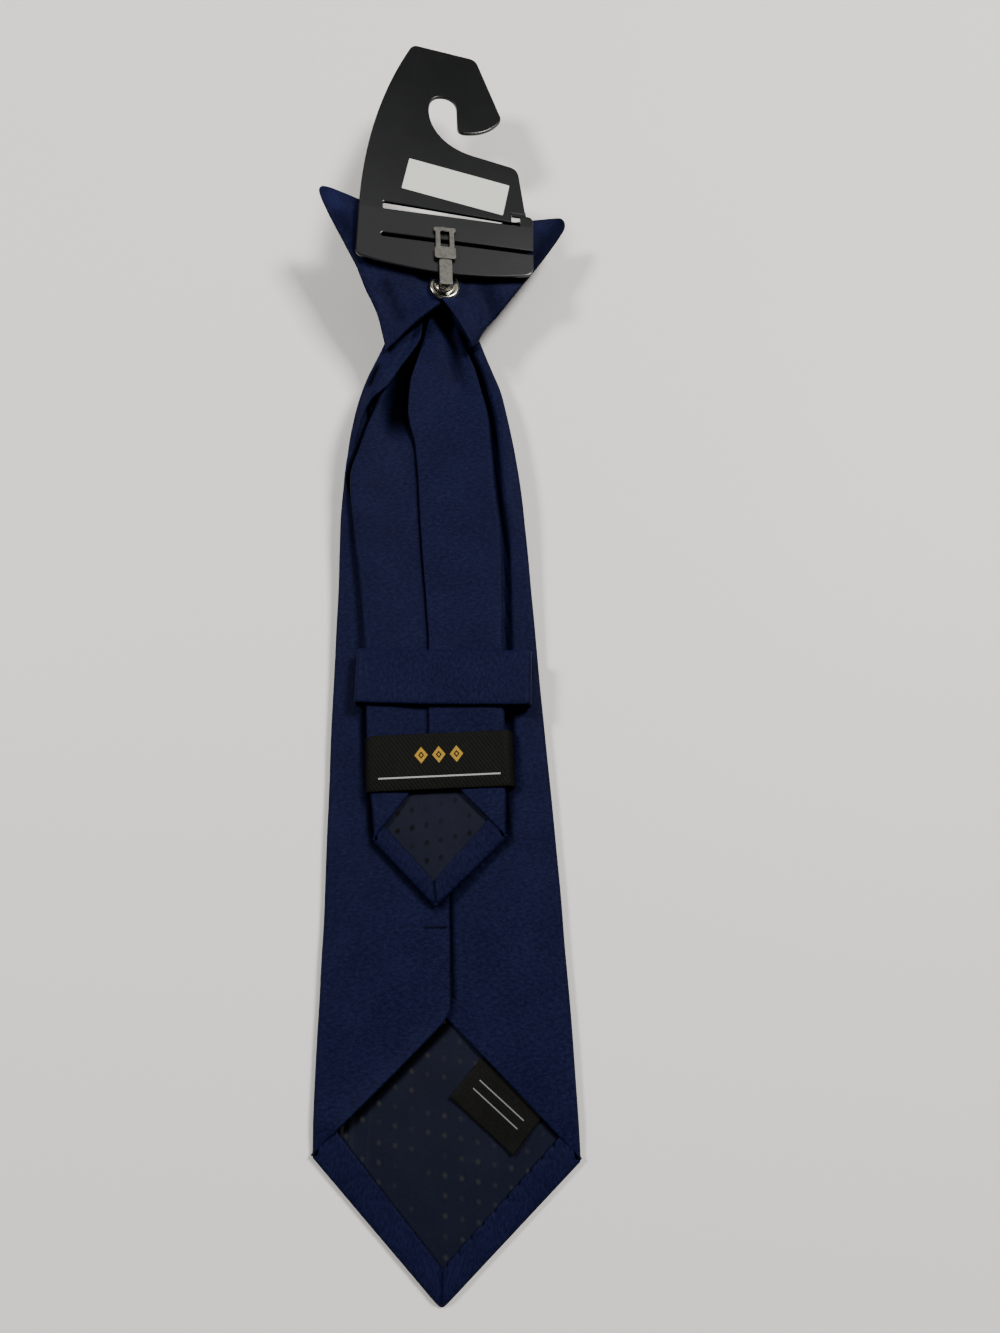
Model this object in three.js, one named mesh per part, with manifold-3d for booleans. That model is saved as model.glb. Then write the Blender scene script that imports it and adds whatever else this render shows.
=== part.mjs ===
// A clip-on tie that lies face down, clipped to its plain display hanger.
// Millimetres, +Z up. The back of the tie faces up, and +Y runs from its tip to the hanger's hook.
// The origin lies on the table, on the tie's middle line, level with the corners of the wide blade.

import * as THREE from 'three';
import { mergeVertices } from 'three/addons/utils/BufferGeometryUtils.js';
import Module from 'manifold-3d';

const wasm = await Module();
wasm.setup();

// Clearances
const GAP = 0.3;
const FOLD_GAP = 0.45;

// Wide front blade: its corners stand at y = 0 and its neck enters the knot at y = BLADE_LENGTH
const BLADE_LENGTH = 219;
const BLADE_HALF = 32;
const BLADE_THICK = 3.2;
const BLADE_TIP = 31.5;
const BLADE_HEM = 6.5;
const BLADE_VEE = 30.5;
const BLADE_FLOOR = 1.1;
const HEM_STEP = 0.7;
const SEAM_SIDE = 3;
const SEAM_STEP = 0.6;
const EDGE_ROUND = 0.8;

// Narrow tail: its corners stand at y = TAIL_START and its neck enters the knot with the blade's
const TAIL_START = 75;
const TAIL_HALF = 17;
const TAIL_THICK = 2.6;
const TAIL_TIP = 16.8;
const TAIL_HEM = 4.8;
const TAIL_VEE = 19;
const TAIL_FLOOR = 0.9;

// Linings, labels and bands
const LINING_THICK = 0.7;
const CARE = { long: 20, wide: 9.4, thick: 0.5, turn: -42, x: 13, y: 10.1 };
const TACK = { long: 5.2, wide: 0.9, thick: 0.6, x: -0.4, y: 53.2 };
const LOOP = { slack: 12, wide: 15, thick: 0.9, turn: -2.3, x: 2.4, y: 117.3 };
const LABEL = { slack: 5.4, wide: 14.8, thick: 0.6, turn: 0.9, x: 0.5, y: 93.8 };

// Knot, in its own frame: its mouth faces -Y and its front lies on the table
const KNOT_LENGTH = 37;
const KNOT_TOP_HALF = 19.5;
const KNOT_MOUTH_HALF = 14;
const KNOT_DEPTH = 15.2;
const KNOT_WALL = 1.3;
const KNOT_HOLLOW = 24;
const KNOT_MOUTH_SIDE = -1.4;
const KNOT_ROLL = 9.5;
const KNOT_YAW = -2.5;
const KNOT_LIFT = 0.75;

// Wings, the cloth ends that cross on the knot's back
const WING_REACH = 37;
const WING_HEIGHT = 43.6;
const WING_THICK = 1.2;
const WING_TUCK = 6;
const VEE_APEX = 9.2;
const CORNER_DROP = 3.6;

// Steel clip, in a frame of its own at the rivet
const CLIP_X = 0.9;
const CLIP_Y = 13.9;
const CLIP_TURN = 3.4;
const CLIP_THICK = 0.6;
const RIVET_RADIUS = 4.4;
const RIVET_FLANGE = 1.2;
const RIVET_DOME = 2;
const TONGUE_WIDE = 3.8;
const TONGUE_LONG = 8.4;
const PLATE_WIDE = 6.4;
const PLATE_START = 5.4;
const PLATE_END = 15;
const TAB_WIDE = 7.2;
const TAB_LONG = 2.2;
const WINDOW_WIDE = 2.4;
const WINDOW_START = 8.6;
const WINDOW_END = 13.8;
const HOOK_WIDE = 1.8;
const HOOK_LONG = 8;

// Display hanger, in the knot's frame
const HANGER_LEFT = -25.2;
const HANGER_RIGHT = 26.6;
const HANGER_FOOT = 18.9;
const HANGER_SAG = 2.5;
const HANGER_TOP = 97.9;
const HANGER_THICK = 1.2;
const SLOT_LEFT = -18.2;
const SLOT_WIDE = 1.2;
const SLOT_Y = 26.8;
const CATCH_Y = 35.6;
const NOTCH_X = 19.8;
const NOTCH_WIDE = 2.6;
const NOTCH_HIGH = 4.1;
const SHOULDER_X = 21.8;
const SHOULDER_Y = 56.6;
const THROAT_X = -1.6;
const THROAT_Y = 63;
const CROWN_Y = 79.4;
const CROWN_FLAT = 3;
const BEAK_X = 15.8;
const BEAK_Y = 66.7;
const TOP_LEFT = -12;
const TOP_RIGHT = 6.6;
const STICKER = { long: 30.6, wide: 11.2, thick: 0.25, turn: -9.3, x: 2.9, y: 46.4 };

// How the blade runs from its corners (at 0) to the knot's mouth (at 1).
// half and mid are shares of BLADE_HALF, lift and trough of KNOT_DEPTH, bulk of BLADE_THICK,
// and roll of the knot's roll. The trough is how far the two sides rise above the middle.
const BLADE_RUN = [
  { at: -0.2, half: 1.0, mid: 0.045, lift: 0, trough: 0, bulk: 1, roll: 0 },
  { at: 0, half: 1.0, mid: 0.045, lift: 0, trough: 0, bulk: 1, roll: 0 },
  { at: 0.25, half: 0.95, mid: 0.038, lift: 0, trough: 0, bulk: 1, roll: 0 },
  { at: 0.5, half: 0.885, mid: 0.01, lift: 0, trough: 0, bulk: 1, roll: 0 },
  { at: 0.66, half: 0.84, mid: 0, lift: 0, trough: 0, bulk: 1, roll: 0 },
  { at: 0.76, half: 0.82, mid: -0.01, lift: 0.01, trough: 0.04, bulk: 1, roll: 0.05 },
  { at: 0.84, half: 0.75, mid: -0.005, lift: 0.05, trough: 0.13, bulk: 1.02, roll: 0.25 },
  { at: 0.9, half: 0.655, mid: 0.01, lift: 0.1, trough: 0.18, bulk: 1.08, roll: 0.5 },
  { at: 0.95, half: 0.54, mid: 0.025, lift: 0.14, trough: 0.24, bulk: 1.15, roll: 0.8 },
  { at: 0.975, half: 0.46, mid: 0, lift: 0.17, trough: 0.25, bulk: 1.18, roll: 0.95 },
  { at: 1, half: 0.335, mid: -0.02, lift: 0.2, trough: 0.26, bulk: 1.2, roll: 1 },
  { at: 1.05, half: 0.3, mid: -0.02, lift: 0.21, trough: 0.2, bulk: 1.2, roll: 1 },
];

// How the tail runs from its corners (at 0) to the mouth (at 1). half, mid and seam are shares of
// TAIL_HALF, and rise and crown are shares of KNOT_DEPTH: how far it stands off the blade, and how
// far it swells in the neck.
const TAIL_RUN = [
  { at: -0.15, half: 1, mid: 0.05, seam: -0.1, rise: 0, crown: 0 },
  { at: 0, half: 1, mid: 0.05, seam: -0.1, rise: 0, crown: 0 },
  { at: 0.15, half: 1.07, mid: 0.01, seam: -0.11, rise: 0.02, crown: 0 },
  { at: 0.23, half: 1.08, mid: 0, seam: -0.11, rise: 0.085, crown: 0 },
  { at: 0.36, half: 1.1, mid: -0.01, seam: -0.1, rise: 0.085, crown: 0 },
  { at: 0.45, half: 1.14, mid: -0.03, seam: -0.14, rise: 0.05, crown: 0 },
  { at: 0.6, half: 1.2, mid: -0.1, seam: -0.22, rise: 0.03, crown: 0.01 },
  { at: 0.695, half: 1.19, mid: -0.165, seam: -0.25, rise: 0.03, crown: 0.03 },
  { at: 0.76, half: 1.1, mid: -0.11, seam: -0.29, rise: 0.03, crown: 0.05 },
  { at: 0.84, half: 0.96, mid: -0.02, seam: -0.41, rise: 0.03, crown: 0.08 },
  { at: 0.9, half: 0.8, mid: 0.03, seam: -0.37, rise: 0.03, crown: 0.12 },
  { at: 0.95, half: 0.61, mid: 0.11, seam: -0.25, rise: 0.04, crown: 0.16 },
  { at: 1, half: 0.44, mid: 0.13, seam: -0.13, rise: 0.04, crown: 0.18 },
  { at: 1.07, half: 0.3, mid: 0.13, seam: 0, rise: 0.04, crown: 0.18 },
];

// The tail's folds near the knot: a valley down its right half and a pocket left of the seam.
// valley is a share of TAIL_HALF, and dip and pocket, their depths, are shares of TAIL_THICK.
const TAIL_FOLDS = [
  { at: 0.45, valley: 0.5, dip: 0, pocket: 0 },
  { at: 0.6, valley: 0.5, dip: 0, pocket: 0 },
  { at: 0.695, valley: 0.5, dip: 0.05, pocket: 0 },
  { at: 0.76, valley: 0.5, dip: 0.1, pocket: 0.15 },
  { at: 0.84, valley: 0.52, dip: 0.25, pocket: 0.75 },
  { at: 0.9, valley: 0.5, dip: 0.45, pocket: 1.1 },
  { at: 0.95, valley: 0.44, dip: 0.6, pocket: 0.9 },
  { at: 1, valley: 0.36, dip: 0.6, pocket: 0.5 },
  { at: 1.07, valley: 0.24, dip: 0.4, pocket: 0.3 },
];

// The blade's left side folds over the tail near the knot. at runs as in BLADE_RUN, edge is the
// fold's inner edge as a share of BLADE_HALF, and arch is how far it lies over the tail.
const FLAP_RUN = [
  { at: 0.81, edge: -0.765, arch: 0 },
  { at: 0.84, edge: -0.69, arch: 0.3 },
  { at: 0.87, edge: -0.62, arch: 0.8 },
  { at: 0.9, edge: -0.53, arch: 1 },
  { at: 0.925, edge: -0.37, arch: 1 },
  { at: 0.95, edge: -0.27, arch: 1 },
  { at: 0.975, edge: -0.16, arch: 1 },
  { at: 1, edge: -0.08, arch: 1 },
  { at: 1.03, edge: -0.07, arch: 0.9 },
];

// The knot's sections from its mouth (at 0) to its top (at 1): half runs from the mouth's half
// width to the top's, and back and front are heights as shares of KNOT_DEPTH.
const KNOT_RUN = [
  { at: 0, half: 0, back: 0.77, front: 0.05 },
  { at: 0.3, half: 0.25, back: 0.96, front: 0.02 },
  { at: 0.6, half: 0.6, back: 1, front: 0 },
  { at: 0.9, half: 0.95, back: 1, front: 0.04 },
  { at: 1, half: 1, back: 1, front: 0.3 },
];

// The wings' outer edges from the mouth's corner up to the tip, as shares of WING_REACH and
// WING_HEIGHT. The left corner hangs lower than the right one.
const LEFT_EDGE = [
  { x: -0.4, y: -0.21 },
  { x: -0.445, y: -0.07 },
  { x: -0.5, y: 0.1 },
  { x: -0.59, y: 0.26 },
  { x: -0.68, y: 0.42 },
  { x: -0.87, y: 0.72 },
  { x: -0.975, y: 0.9 },
  { x: -1.0, y: 0.985 },
  { x: -0.955, y: 1.005 },
  { x: -0.83, y: 0.975 },
  { x: -0.68, y: 0.93 },
];
const RIGHT_EDGE = [
  { x: 0.29, y: -0.06 },
  { x: 0.37, y: 0.065 },
  { x: 0.475, y: 0.195 },
  { x: 0.63, y: 0.385 },
  { x: 0.83, y: 0.655 },
  { x: 0.97, y: 0.87 },
  { x: 0.99, y: 0.94 },
  { x: 0.96, y: 0.98 },
  { x: 0.9, y: 0.972 },
  { x: 0.83, y: 0.95 },
  { x: 0.73, y: 0.915 },
];

const radians = THREE.MathUtils.degToRad;
const clamp = THREE.MathUtils.clamp;
const smooth = THREE.MathUtils.smoothstep;

// The smooth value of a named column of a run at any place along it
function follow(run, column, at) {
  const last = run.length - 1;
  const place = clamp(at, run[0].at, run[last].at);
  let i = 0;
  while (i < last - 1 && place > run[i + 1].at) i += 1;
  const slope = (a, b) => (run[b][column] - run[a][column]) / (run[b].at - run[a].at);
  const rise = slope(i, i + 1);
  const gentle = (side) => (side * rise <= 0 ? 0 : (2 * side * rise) / (side + rise));
  const before = i === 0 ? rise : gentle(slope(i - 1, i));
  const after = i === last - 1 ? rise : gentle(slope(i + 1, i + 2));
  const span = run[i + 1].at - run[i].at;
  const t = (place - run[i].at) / span;
  const start = run[i][column] * (1 + 2 * t) * (1 - t) ** 2 + run[i + 1][column] * t * t * (3 - 2 * t);
  return start + span * (before * t * (1 - t) ** 2 - after * t * t * (1 - t));
}

// A closed geometry from positions and triangles, turned outwards if its volume is negative
function closed(positions, triangles) {
  const geometry = new THREE.BufferGeometry();
  geometry.setAttribute('position', new THREE.Float32BufferAttribute(positions, 3));
  geometry.setIndex(triangles);
  const merged = mergeVertices(geometry, 1e-4);
  const corner = [0, 1, 2].map(() => new THREE.Vector3());
  const index = merged.index;
  let volume = 0;
  for (let i = 0; i < index.count; i += 3) {
    corner.forEach((v, k) => v.fromBufferAttribute(merged.attributes.position, index.getX(i + k)));
    volume += corner[0].dot(corner[1].clone().cross(corner[2]));
  }
  if (volume < 0) {
    for (let i = 0; i < index.count; i += 3) {
      const second = index.getX(i + 1);
      index.setX(i + 1, index.getX(i + 2));
      index.setX(i + 2, second);
    }
  }
  return merged;
}

// A sheet of cloth with two faces: place(u, v, top) gives each corner of the grid us by vs
function sheet(us, vs, place) {
  const box = new THREE.BoxGeometry(1, 1, 1, us.length - 1, vs.length - 1, 1);
  const source = box.attributes.position;
  const positions = [];
  for (let i = 0; i < source.count; i += 1) {
    const u = us[Math.round((source.getX(i) + 0.5) * (us.length - 1))];
    const v = vs[Math.round((source.getY(i) + 0.5) * (vs.length - 1))];
    positions.push(...place(u, v, source.getZ(i) > 0));
  }
  return closed(positions, [...box.index.array]);
}

// A solid through closed rings of points, with a flat end at each side
function loft(rings) {
  const positions = [];
  const triangles = [];
  const count = rings[0].length;
  rings.forEach((ring) => ring.forEach((point) => positions.push(...point)));
  for (let r = 0; r < rings.length - 1; r += 1) {
    for (let i = 0; i < count; i += 1) {
      const a = r * count + i;
      const b = r * count + ((i + 1) % count);
      triangles.push(a, b, a + count, b, b + count, a + count);
    }
  }
  [0, rings.length - 1].forEach((r) => {
    const middle = [0, 1, 2].map((k) => rings[r].reduce((sum, point) => sum + point[k], 0) / count);
    const hub = positions.length / 3;
    positions.push(...middle);
    for (let i = 0; i < count; i += 1) {
      const a = r * count + i;
      const b = r * count + ((i + 1) % count);
      triangles.push(...(r === 0 ? [hub, b, a] : [hub, a, b]));
    }
  });
  return closed(positions, triangles);
}

// A flat shape given thickness from z0 to z1
function prism(shape, z0, z1, segments = 8) {
  const settings = { depth: z1 - z0, bevelEnabled: false, curveSegments: segments };
  return new THREE.ExtrudeGeometry(shape, settings).translate(0, 0, z0);
}

function polygon(points) {
  return new THREE.Shape(points.map(([x, y]) => new THREE.Vector2(x, y)));
}

function rectangle(x0, x1, y0, y1) {
  return polygon([[x0, y0], [x1, y0], [x1, y1], [x0, y1]]);
}

// Booleans
function toSolid(geometry) {
  const bare = geometry.clone();
  bare.deleteAttribute('normal');
  bare.deleteAttribute('uv');
  const merged = mergeVertices(bare, 1e-4);
  return new wasm.Manifold(new wasm.Mesh({
    numProp: 3,
    vertProperties: new Float32Array(merged.attributes.position.array),
    triVerts: new Uint32Array(merged.index.array),
  }));
}

function toGeometry(solid) {
  const mesh = solid.getMesh();
  const geometry = new THREE.BufferGeometry();
  geometry.setAttribute('position', new THREE.Float32BufferAttribute(mesh.vertProperties, 3));
  geometry.setIndex([...mesh.triVerts]);
  return geometry;
}

function cut(base, ...cutters) {
  return toGeometry(cutters.reduce((solid, cutter) => solid.subtract(toSolid(cutter)), toSolid(base)));
}

function join(base, ...others) {
  return toGeometry(others.reduce((solid, other) => solid.add(toSolid(other)), toSolid(base)));
}

// Materials
function finish(color, roughness, metalness = 0) {
  return new THREE.MeshStandardMaterial({ color, roughness, metalness });
}

const satin = finish(0x18214a, 0.5);
const liningCloth = finish(0x161a28, 0.7);
const wovenBlack = finish(0x14140f, 0.8);
const steel = finish(0x8b8880, 0.3, 1);
const plastic = finish(0x2d2f31, 0.55);
const paper = finish(0xe8e8e0, 0.8);

function piece(name, geometry, material) {
  const mesh = new THREE.Mesh(geometry, material);
  mesh.name = name;
  return mesh;
}

// Heights of the blade and the tail at any place
const rollSlope = Math.tan(radians(KNOT_ROLL));
const bladeAt = (y) => y / BLADE_LENGTH;
const tailAt = (y) => (y - TAIL_START) / (BLADE_LENGTH - TAIL_START);

function blade(column, y) {
  const unit = { half: BLADE_HALF, mid: BLADE_HALF, lift: KNOT_DEPTH, trough: KNOT_DEPTH, bulk: BLADE_THICK };
  return follow(BLADE_RUN, column, bladeAt(y)) * (unit[column] ?? 1);
}

function tail(column, y) {
  const unit = { half: TAIL_HALF, mid: TAIL_HALF, seam: TAIL_HALF, rise: KNOT_DEPTH, crown: KNOT_DEPTH };
  return follow(TAIL_RUN, column, tailAt(y)) * unit[column];
}

function tailFold(column, y) {
  const unit = { valley: TAIL_HALF, dip: TAIL_THICK, pocket: TAIL_THICK };
  return follow(TAIL_FOLDS, column, tailAt(y)) * unit[column];
}

function bladeLow(x, y) {
  const across = clamp((x - blade('mid', y)) / blade('half', y), -1, 1);
  const low = blade('lift', y) + blade('trough', y) * across * across;
  return low - x * rollSlope * blade('roll', y);
}

function bladeHigh(x, y) {
  const past = (x - SEAM_SIDE) / BLADE_HALF;
  const step = past > 0 ? SEAM_STEP * (1 - smooth(past, 0, 0.4)) : 0;
  return bladeLow(x, y) + blade('bulk', y) - step;
}

function tailLow(x, y) {
  return bladeLow(x, y) + blade('bulk', y) + FOLD_GAP + tail('rise', y);
}

function tailCrest(x, y) {
  const across = clamp((x - tail('mid', y)) / tail('half', y), -1, 1);
  return tailLow(x, y) + TAIL_THICK + tail('crown', y) * (1 - across * across);
}

function tailHigh(x, y) {
  const seam = tail('seam', y);
  const left = tail('mid', y) - tail('half', y);
  const beside = clamp((seam - x) / (seam - left), 0, 1);
  const pocket = tailFold('pocket', y) * (1 - smooth(beside, 0.35, 1)) + SEAM_STEP * (1 - beside);
  const offValley = (x - tailFold('valley', y)) / (0.12 * TAIL_HALF);
  const valley = tailFold('dip', y) * Math.exp(-(offValley ** 2));
  return tailCrest(x, y) - (x < seam ? pocket : 0) - valley;
}

// Where two lines meet, each given by two points
function meet([ax, ay], [bx, by], [cx, cy], [dx, dy]) {
  const across = (bx - ax) * (dy - cy) - (by - ay) * (dx - cx);
  const t = ((cx - ax) * (dy - cy) - (cy - ay) * (dx - cx)) / across;
  return [ax + (bx - ax) * t, ay + (by - ay) * t];
}

// A line moved sideways, to its left, by a distance
function shifted([ax, ay], [bx, by], distance) {
  const long = Math.hypot(bx - ax, by - ay);
  const [sx, sy] = [(-(by - ay) / long) * distance, ((bx - ax) / long) * distance];
  return [[ax + sx, ay + sy], [bx + sx, by + sy]];
}

// The pointed tip of a blade: the wedges beside the point, the lining's diamond and the hem
function tip({ mid, half, corner, pointX, point, hem, vee }) {
  const left = [mid - half, corner];
  const right = [mid + half, corner];
  const end = [pointX, corner - point];
  const top = [mid, corner + vee];
  const far = 3 * half;
  const past = (from, to) => [from[0] + (to[0] - from[0]) * 1.4, from[1] + (to[1] - from[1]) * 1.4];
  const wedge = (side, s) => {
    const [outerX, outerY] = past(end, side);
    return polygon([end, [outerX, outerY], [side[0] + s * far, outerY], [side[0] + s * far, end[1] - half],
      [end[0], end[1] - half]]);
  };
  const diamond = (gap) => {
    const lowLeft = shifted(left, end, hem + gap);
    const lowRight = shifted(end, right, hem + gap);
    const highRight = shifted(right, top, gap);
    const highLeft = shifted(top, left, gap);
    return polygon([meet(...lowLeft, ...lowRight), meet(...lowRight, ...highRight),
      meet(...highRight, ...highLeft), meet(...highLeft, ...lowLeft)]);
  };
  const hemArea = polygon([[left[0] - half, end[1] - half], [right[0] + half, end[1] - half],
    past(top, right), top, past(top, left)]);
  return { wedges: [wedge(left, -1), wedge(right, 1)], diamond, hemArea };
}

const bladeTip = tip({
  mid: blade('mid', 0),
  half: BLADE_HALF,
  corner: 0,
  pointX: 0,
  point: BLADE_TIP,
  hem: BLADE_HEM,
  vee: BLADE_VEE,
});
const tailTip = tip({
  mid: tail('mid', TAIL_START),
  half: TAIL_HALF,
  corner: TAIL_START,
  pointX: -GAP,
  point: TAIL_TIP,
  hem: TAIL_HEM,
  vee: TAIL_VEE,
});

// Shares of the half width where a blade's grid has its columns, and the rows along it
const ACROSS = [-1, -0.97, -0.8, -0.5, -0.2, 'seam', 'edge', 0.35, 0.6, 0.85, 0.97, 1];

function rows(start, end, step) {
  const count = Math.max(1, Math.ceil((end - start) / step));
  return Array.from({ length: count + 1 }, (_, i) => start + ((end - start) * i) / count);
}

function rounded(share) {
  return typeof share === 'number' && Math.abs(share) > 0.98 ? EDGE_ROUND : 0;
}

function frontBlade() {
  const neck = BLADE_LENGTH * 1.05;
  const lengths = [...rows(-BLADE_TIP - 1, 0.66 * BLADE_LENGTH, 30), ...rows(0.68 * BLADE_LENGTH, neck, 5)];
  const columnX = (share, y) => {
    if (share === 'seam') return SEAM_SIDE - 0.2;
    if (share === 'edge') return SEAM_SIDE + 0.2;
    return blade('mid', y) + share * blade('half', y);
  };
  const body = sheet(ACROSS, lengths, (share, y, top) => {
    const x = columnX(share, y);
    return [x, y, top ? bladeHigh(x, y) - rounded(share) : bladeLow(x, y) + rounded(share)];
  });
  const foldRows = rows(0.82 * BLADE_LENGTH, 1.03 * BLADE_LENGTH, 4);
  const flap = sheet([0, 0.12, 0.3, 0.5, 0.75, 1], foldRows, (share, y, top) => {
    const outer = blade('mid', y) - blade('half', y) * 0.985;
    const inner = follow(FLAP_RUN, 'edge', bladeAt(y)) * BLADE_HALF;
    const x = outer + (inner - outer) * share;
    const tailEdge = tail('mid', y) - tail('half', y);
    const over = smooth((x - outer) / Math.max(1.5, tailEdge - outer), -0.3, 1);
    const root = bladeLow(x, y) + blade('bulk', y) * 0.4;
    const roof = tailCrest(x, y) + FOLD_GAP;
    const low = THREE.MathUtils.lerp(root, roof, follow(FLAP_RUN, 'arch', bladeAt(y)) * over);
    return [x, y, low + (top ? BLADE_THICK * 0.5 : 0)];
  });
  return cut(
    join(body, flap),
    ...bladeTip.wedges.map((wedge) => prism(wedge, -5, 20)),
    prism(bladeTip.hemArea, BLADE_THICK - HEM_STEP, 20),
    prism(bladeTip.diamond(0), BLADE_FLOOR, 20),
  );
}

function tailBlade() {
  const neck = TAIL_START + (BLADE_LENGTH - TAIL_START) * 1.06;
  const foot = TAIL_START - TAIL_TIP - 1;
  const lengths = [...rows(foot, 135, 13), ...rows(141, neck, 5)];
  const columnX = (share, y) => {
    if (share === 'seam') return tail('seam', y) - 0.2;
    if (share === 'edge') return tail('seam', y) + 0.2;
    const seam = tail('seam', y);
    const half = tail('half', y);
    const mid = tail('mid', y);
    return share < 0 ? seam + (seam - (mid - half)) * (share + 0.02) * (1 / 0.98)
      : seam + (mid + half - seam) * share;
  };
  const body = sheet(ACROSS.map((s) => (s === -0.2 ? -0.25 : s)), lengths, (share, y, top) => {
    const x = columnX(share, y);
    return [x, y, top ? tailHigh(x, y) - rounded(share) * 0.7 : tailLow(x, y) + rounded(share) * 0.7];
  });
  const low = tailLow(0, TAIL_START);
  return cut(
    body,
    ...tailTip.wedges.map((wedge) => prism(wedge, -5, 20)),
    prism(tailTip.hemArea, low + TAIL_THICK - HEM_STEP, 20),
    prism(tailTip.diamond(0), low + TAIL_FLOOR, 20),
  );
}

function linings() {
  const lining = (name, shape, floor) => piece(name, prism(shape, floor, floor + LINING_THICK), liningCloth);
  return [
    lining('front_blade_lining', bladeTip.diamond(GAP), BLADE_FLOOR + GAP),
    lining('tail_lining', tailTip.diamond(GAP), tailLow(0, TAIL_START) + TAIL_FLOOR + GAP),
  ];
}

// Small flat pieces lie turned about their own middle
function laid(name, size, z, material) {
  const shape = rectangle(-size.long / 2, size.long / 2, -size.wide / 2, size.wide / 2);
  const mesh = piece(name, prism(shape, 0, size.thick), material);
  mesh.position.set(size.x, size.y, z);
  mesh.rotation.z = radians(size.turn ?? 0);
  return mesh;
}

// A band seen from its end: across and up, closed under the tail or open like a bridge.
// Its slack is how much longer it is than the tail is wide.
function band(name, size, low, high, isLoop, material) {
  const half = TAIL_HALF + size.slack / 2;
  const outer = polygon([[-half, low + 0.5], [-half + 0.6, low], [half - 0.6, low], [half, low + 0.5],
    [half, high - 1], [half - 1, high], [-half + 1, high], [-half, high - 1]]);
  const t = size.thick;
  const bottom = isLoop ? low + t : low - 1;
  const hollow = rectangle(-half + t, half - t, bottom, high - t);
  const turn = new THREE.Matrix4().makeRotationX(Math.PI / 2);
  const body = prism(outer, -size.wide / 2, size.wide / 2).applyMatrix4(turn);
  const inside = prism(hollow, -size.wide, size.wide).applyMatrix4(turn);
  const mesh = piece(name, cut(body, inside), material);
  mesh.position.set(size.x, size.y, 0);
  mesh.rotation.z = radians(size.turn);
  return mesh;
}

function bands() {
  const base = BLADE_THICK + GAP;
  const tailTop = (y) => tailHigh(tail('seam', y) + 1, y);
  return [
    band('keeper_loop', LOOP, base, tailTop(LOOP.y) + GAP + LOOP.thick, true, satin),
    band('neck_label', LABEL, base, tailTop(LABEL.y + LABEL.wide / 2) + GAP + LABEL.thick, false, wovenBlack),
    laid('care_label', CARE, BLADE_FLOOR + LINING_THICK + 2 * GAP, wovenBlack),
    laid('bar_tack', TACK, BLADE_THICK + GAP, satin),
  ];
}

// The knot's wrap: a stuffed body whose section bulges at the front and sides
function knotRing(share, inset, raise) {
  const y = share * KNOT_LENGTH;
  const at = clamp(share, 0, 1);
  const half = THREE.MathUtils.lerp(KNOT_MOUTH_HALF, KNOT_TOP_HALF, follow(KNOT_RUN, 'half', at)) - inset;
  const back = follow(KNOT_RUN, 'back', at) * KNOT_DEPTH + raise;
  const front = follow(KNOT_RUN, 'front', at) * KNOT_DEPTH + inset;
  const middle = THREE.MathUtils.lerp(KNOT_MOUTH_SIDE, 0, at);
  const steps = 12;
  return Array.from({ length: steps + 1 }, (_, i) => {
    const angle = (Math.PI * i) / steps;
    const across = Math.sign(Math.cos(angle)) * Math.abs(Math.cos(angle)) ** 0.75;
    const deep = Math.sin(angle) ** 0.55;
    return [middle + half * across, y, back - (back - front) * deep];
  });
}

function knotWrap() {
  const body = loft([0, 0.15, 0.3, 0.6, 0.9, 1].map((share) => knotRing(share, 0, 0)));
  const deep = KNOT_HOLLOW / KNOT_LENGTH;
  const hollow = loft([-0.1, 0, 0.15, 0.3, deep].map((share) => knotRing(share, KNOT_WALL, KNOT_WALL)));
  return cut(body, hollow);
}

// The height of the knot's back cloth: it drops at the mouth's corners, where it wraps round
function backHeight(x, y) {
  const below = smooth(VEE_APEX - y, -6, VEE_APEX + 9);
  return KNOT_DEPTH + GAP - CORNER_DROP * below * clamp(Math.abs(x) / KNOT_MOUTH_HALF, 0, 1) ** 2;
}

// A wing is a fan of cloth between its outer edge and its inner edge
function wing(edge, inner, heightAt) {
  const outer = edge.map(({ x, y }) => [x * WING_REACH, y * WING_HEIGHT]);
  const along = outer.map((_, i) => i);
  return sheet([0, 0.03, 0.3, 0.6, 0.85, 0.92, 1], along, (share, i, top) => {
    const x = outer[i][0] + (inner[i][0] - outer[i][0]) * share;
    const y = outer[i][1] + (inner[i][1] - outer[i][1]) * share;
    const edgeRound = share === 0 ? 0.3 : 0;
    return [x, y, heightAt(x, y) + (top ? WING_THICK - edgeRound : edgeRound)];
  });
}

// The crease where the right wing crosses over the left one, from the vee's apex to the top
const creaseX = (y) => 0.5 - (y - VEE_APEX) * 0.59;

function wings() {
  const top = 0.88 * WING_HEIGHT;
  const count = LEFT_EDGE.length - 1;
  const innerAt = (i, shift) => {
    const y = VEE_APEX + ((top - VEE_APEX) * i) / count;
    return [creaseX(y) + shift, y];
  };
  const left = wing(LEFT_EDGE, LEFT_EDGE.map((_, i) => innerAt(i, WING_TUCK * smooth(i, 0, 3))), backHeight);
  const overLeft = (x, y) => {
    const past = x - creaseX(y) - WING_TUCK;
    return backHeight(x, y) + (WING_THICK + GAP) * (1 - smooth(past, 0.5, 8));
  };
  const right = wing(RIGHT_EDGE, RIGHT_EDGE.map((_, i) => innerAt(i, 0)), overLeft);
  return [piece('wing_left', left, satin), piece('wing_right', right, satin)];
}

// The clip's pieces lie one above the other on the wings
const wingTop = KNOT_DEPTH + 2 * GAP + 2 * WING_THICK;
const hangerLow = wingTop + RIVET_FLANGE + 2 * GAP;
const hookLow = hangerLow - GAP - CLIP_THICK;
const plateLow = hangerLow + HANGER_THICK + GAP;

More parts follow.
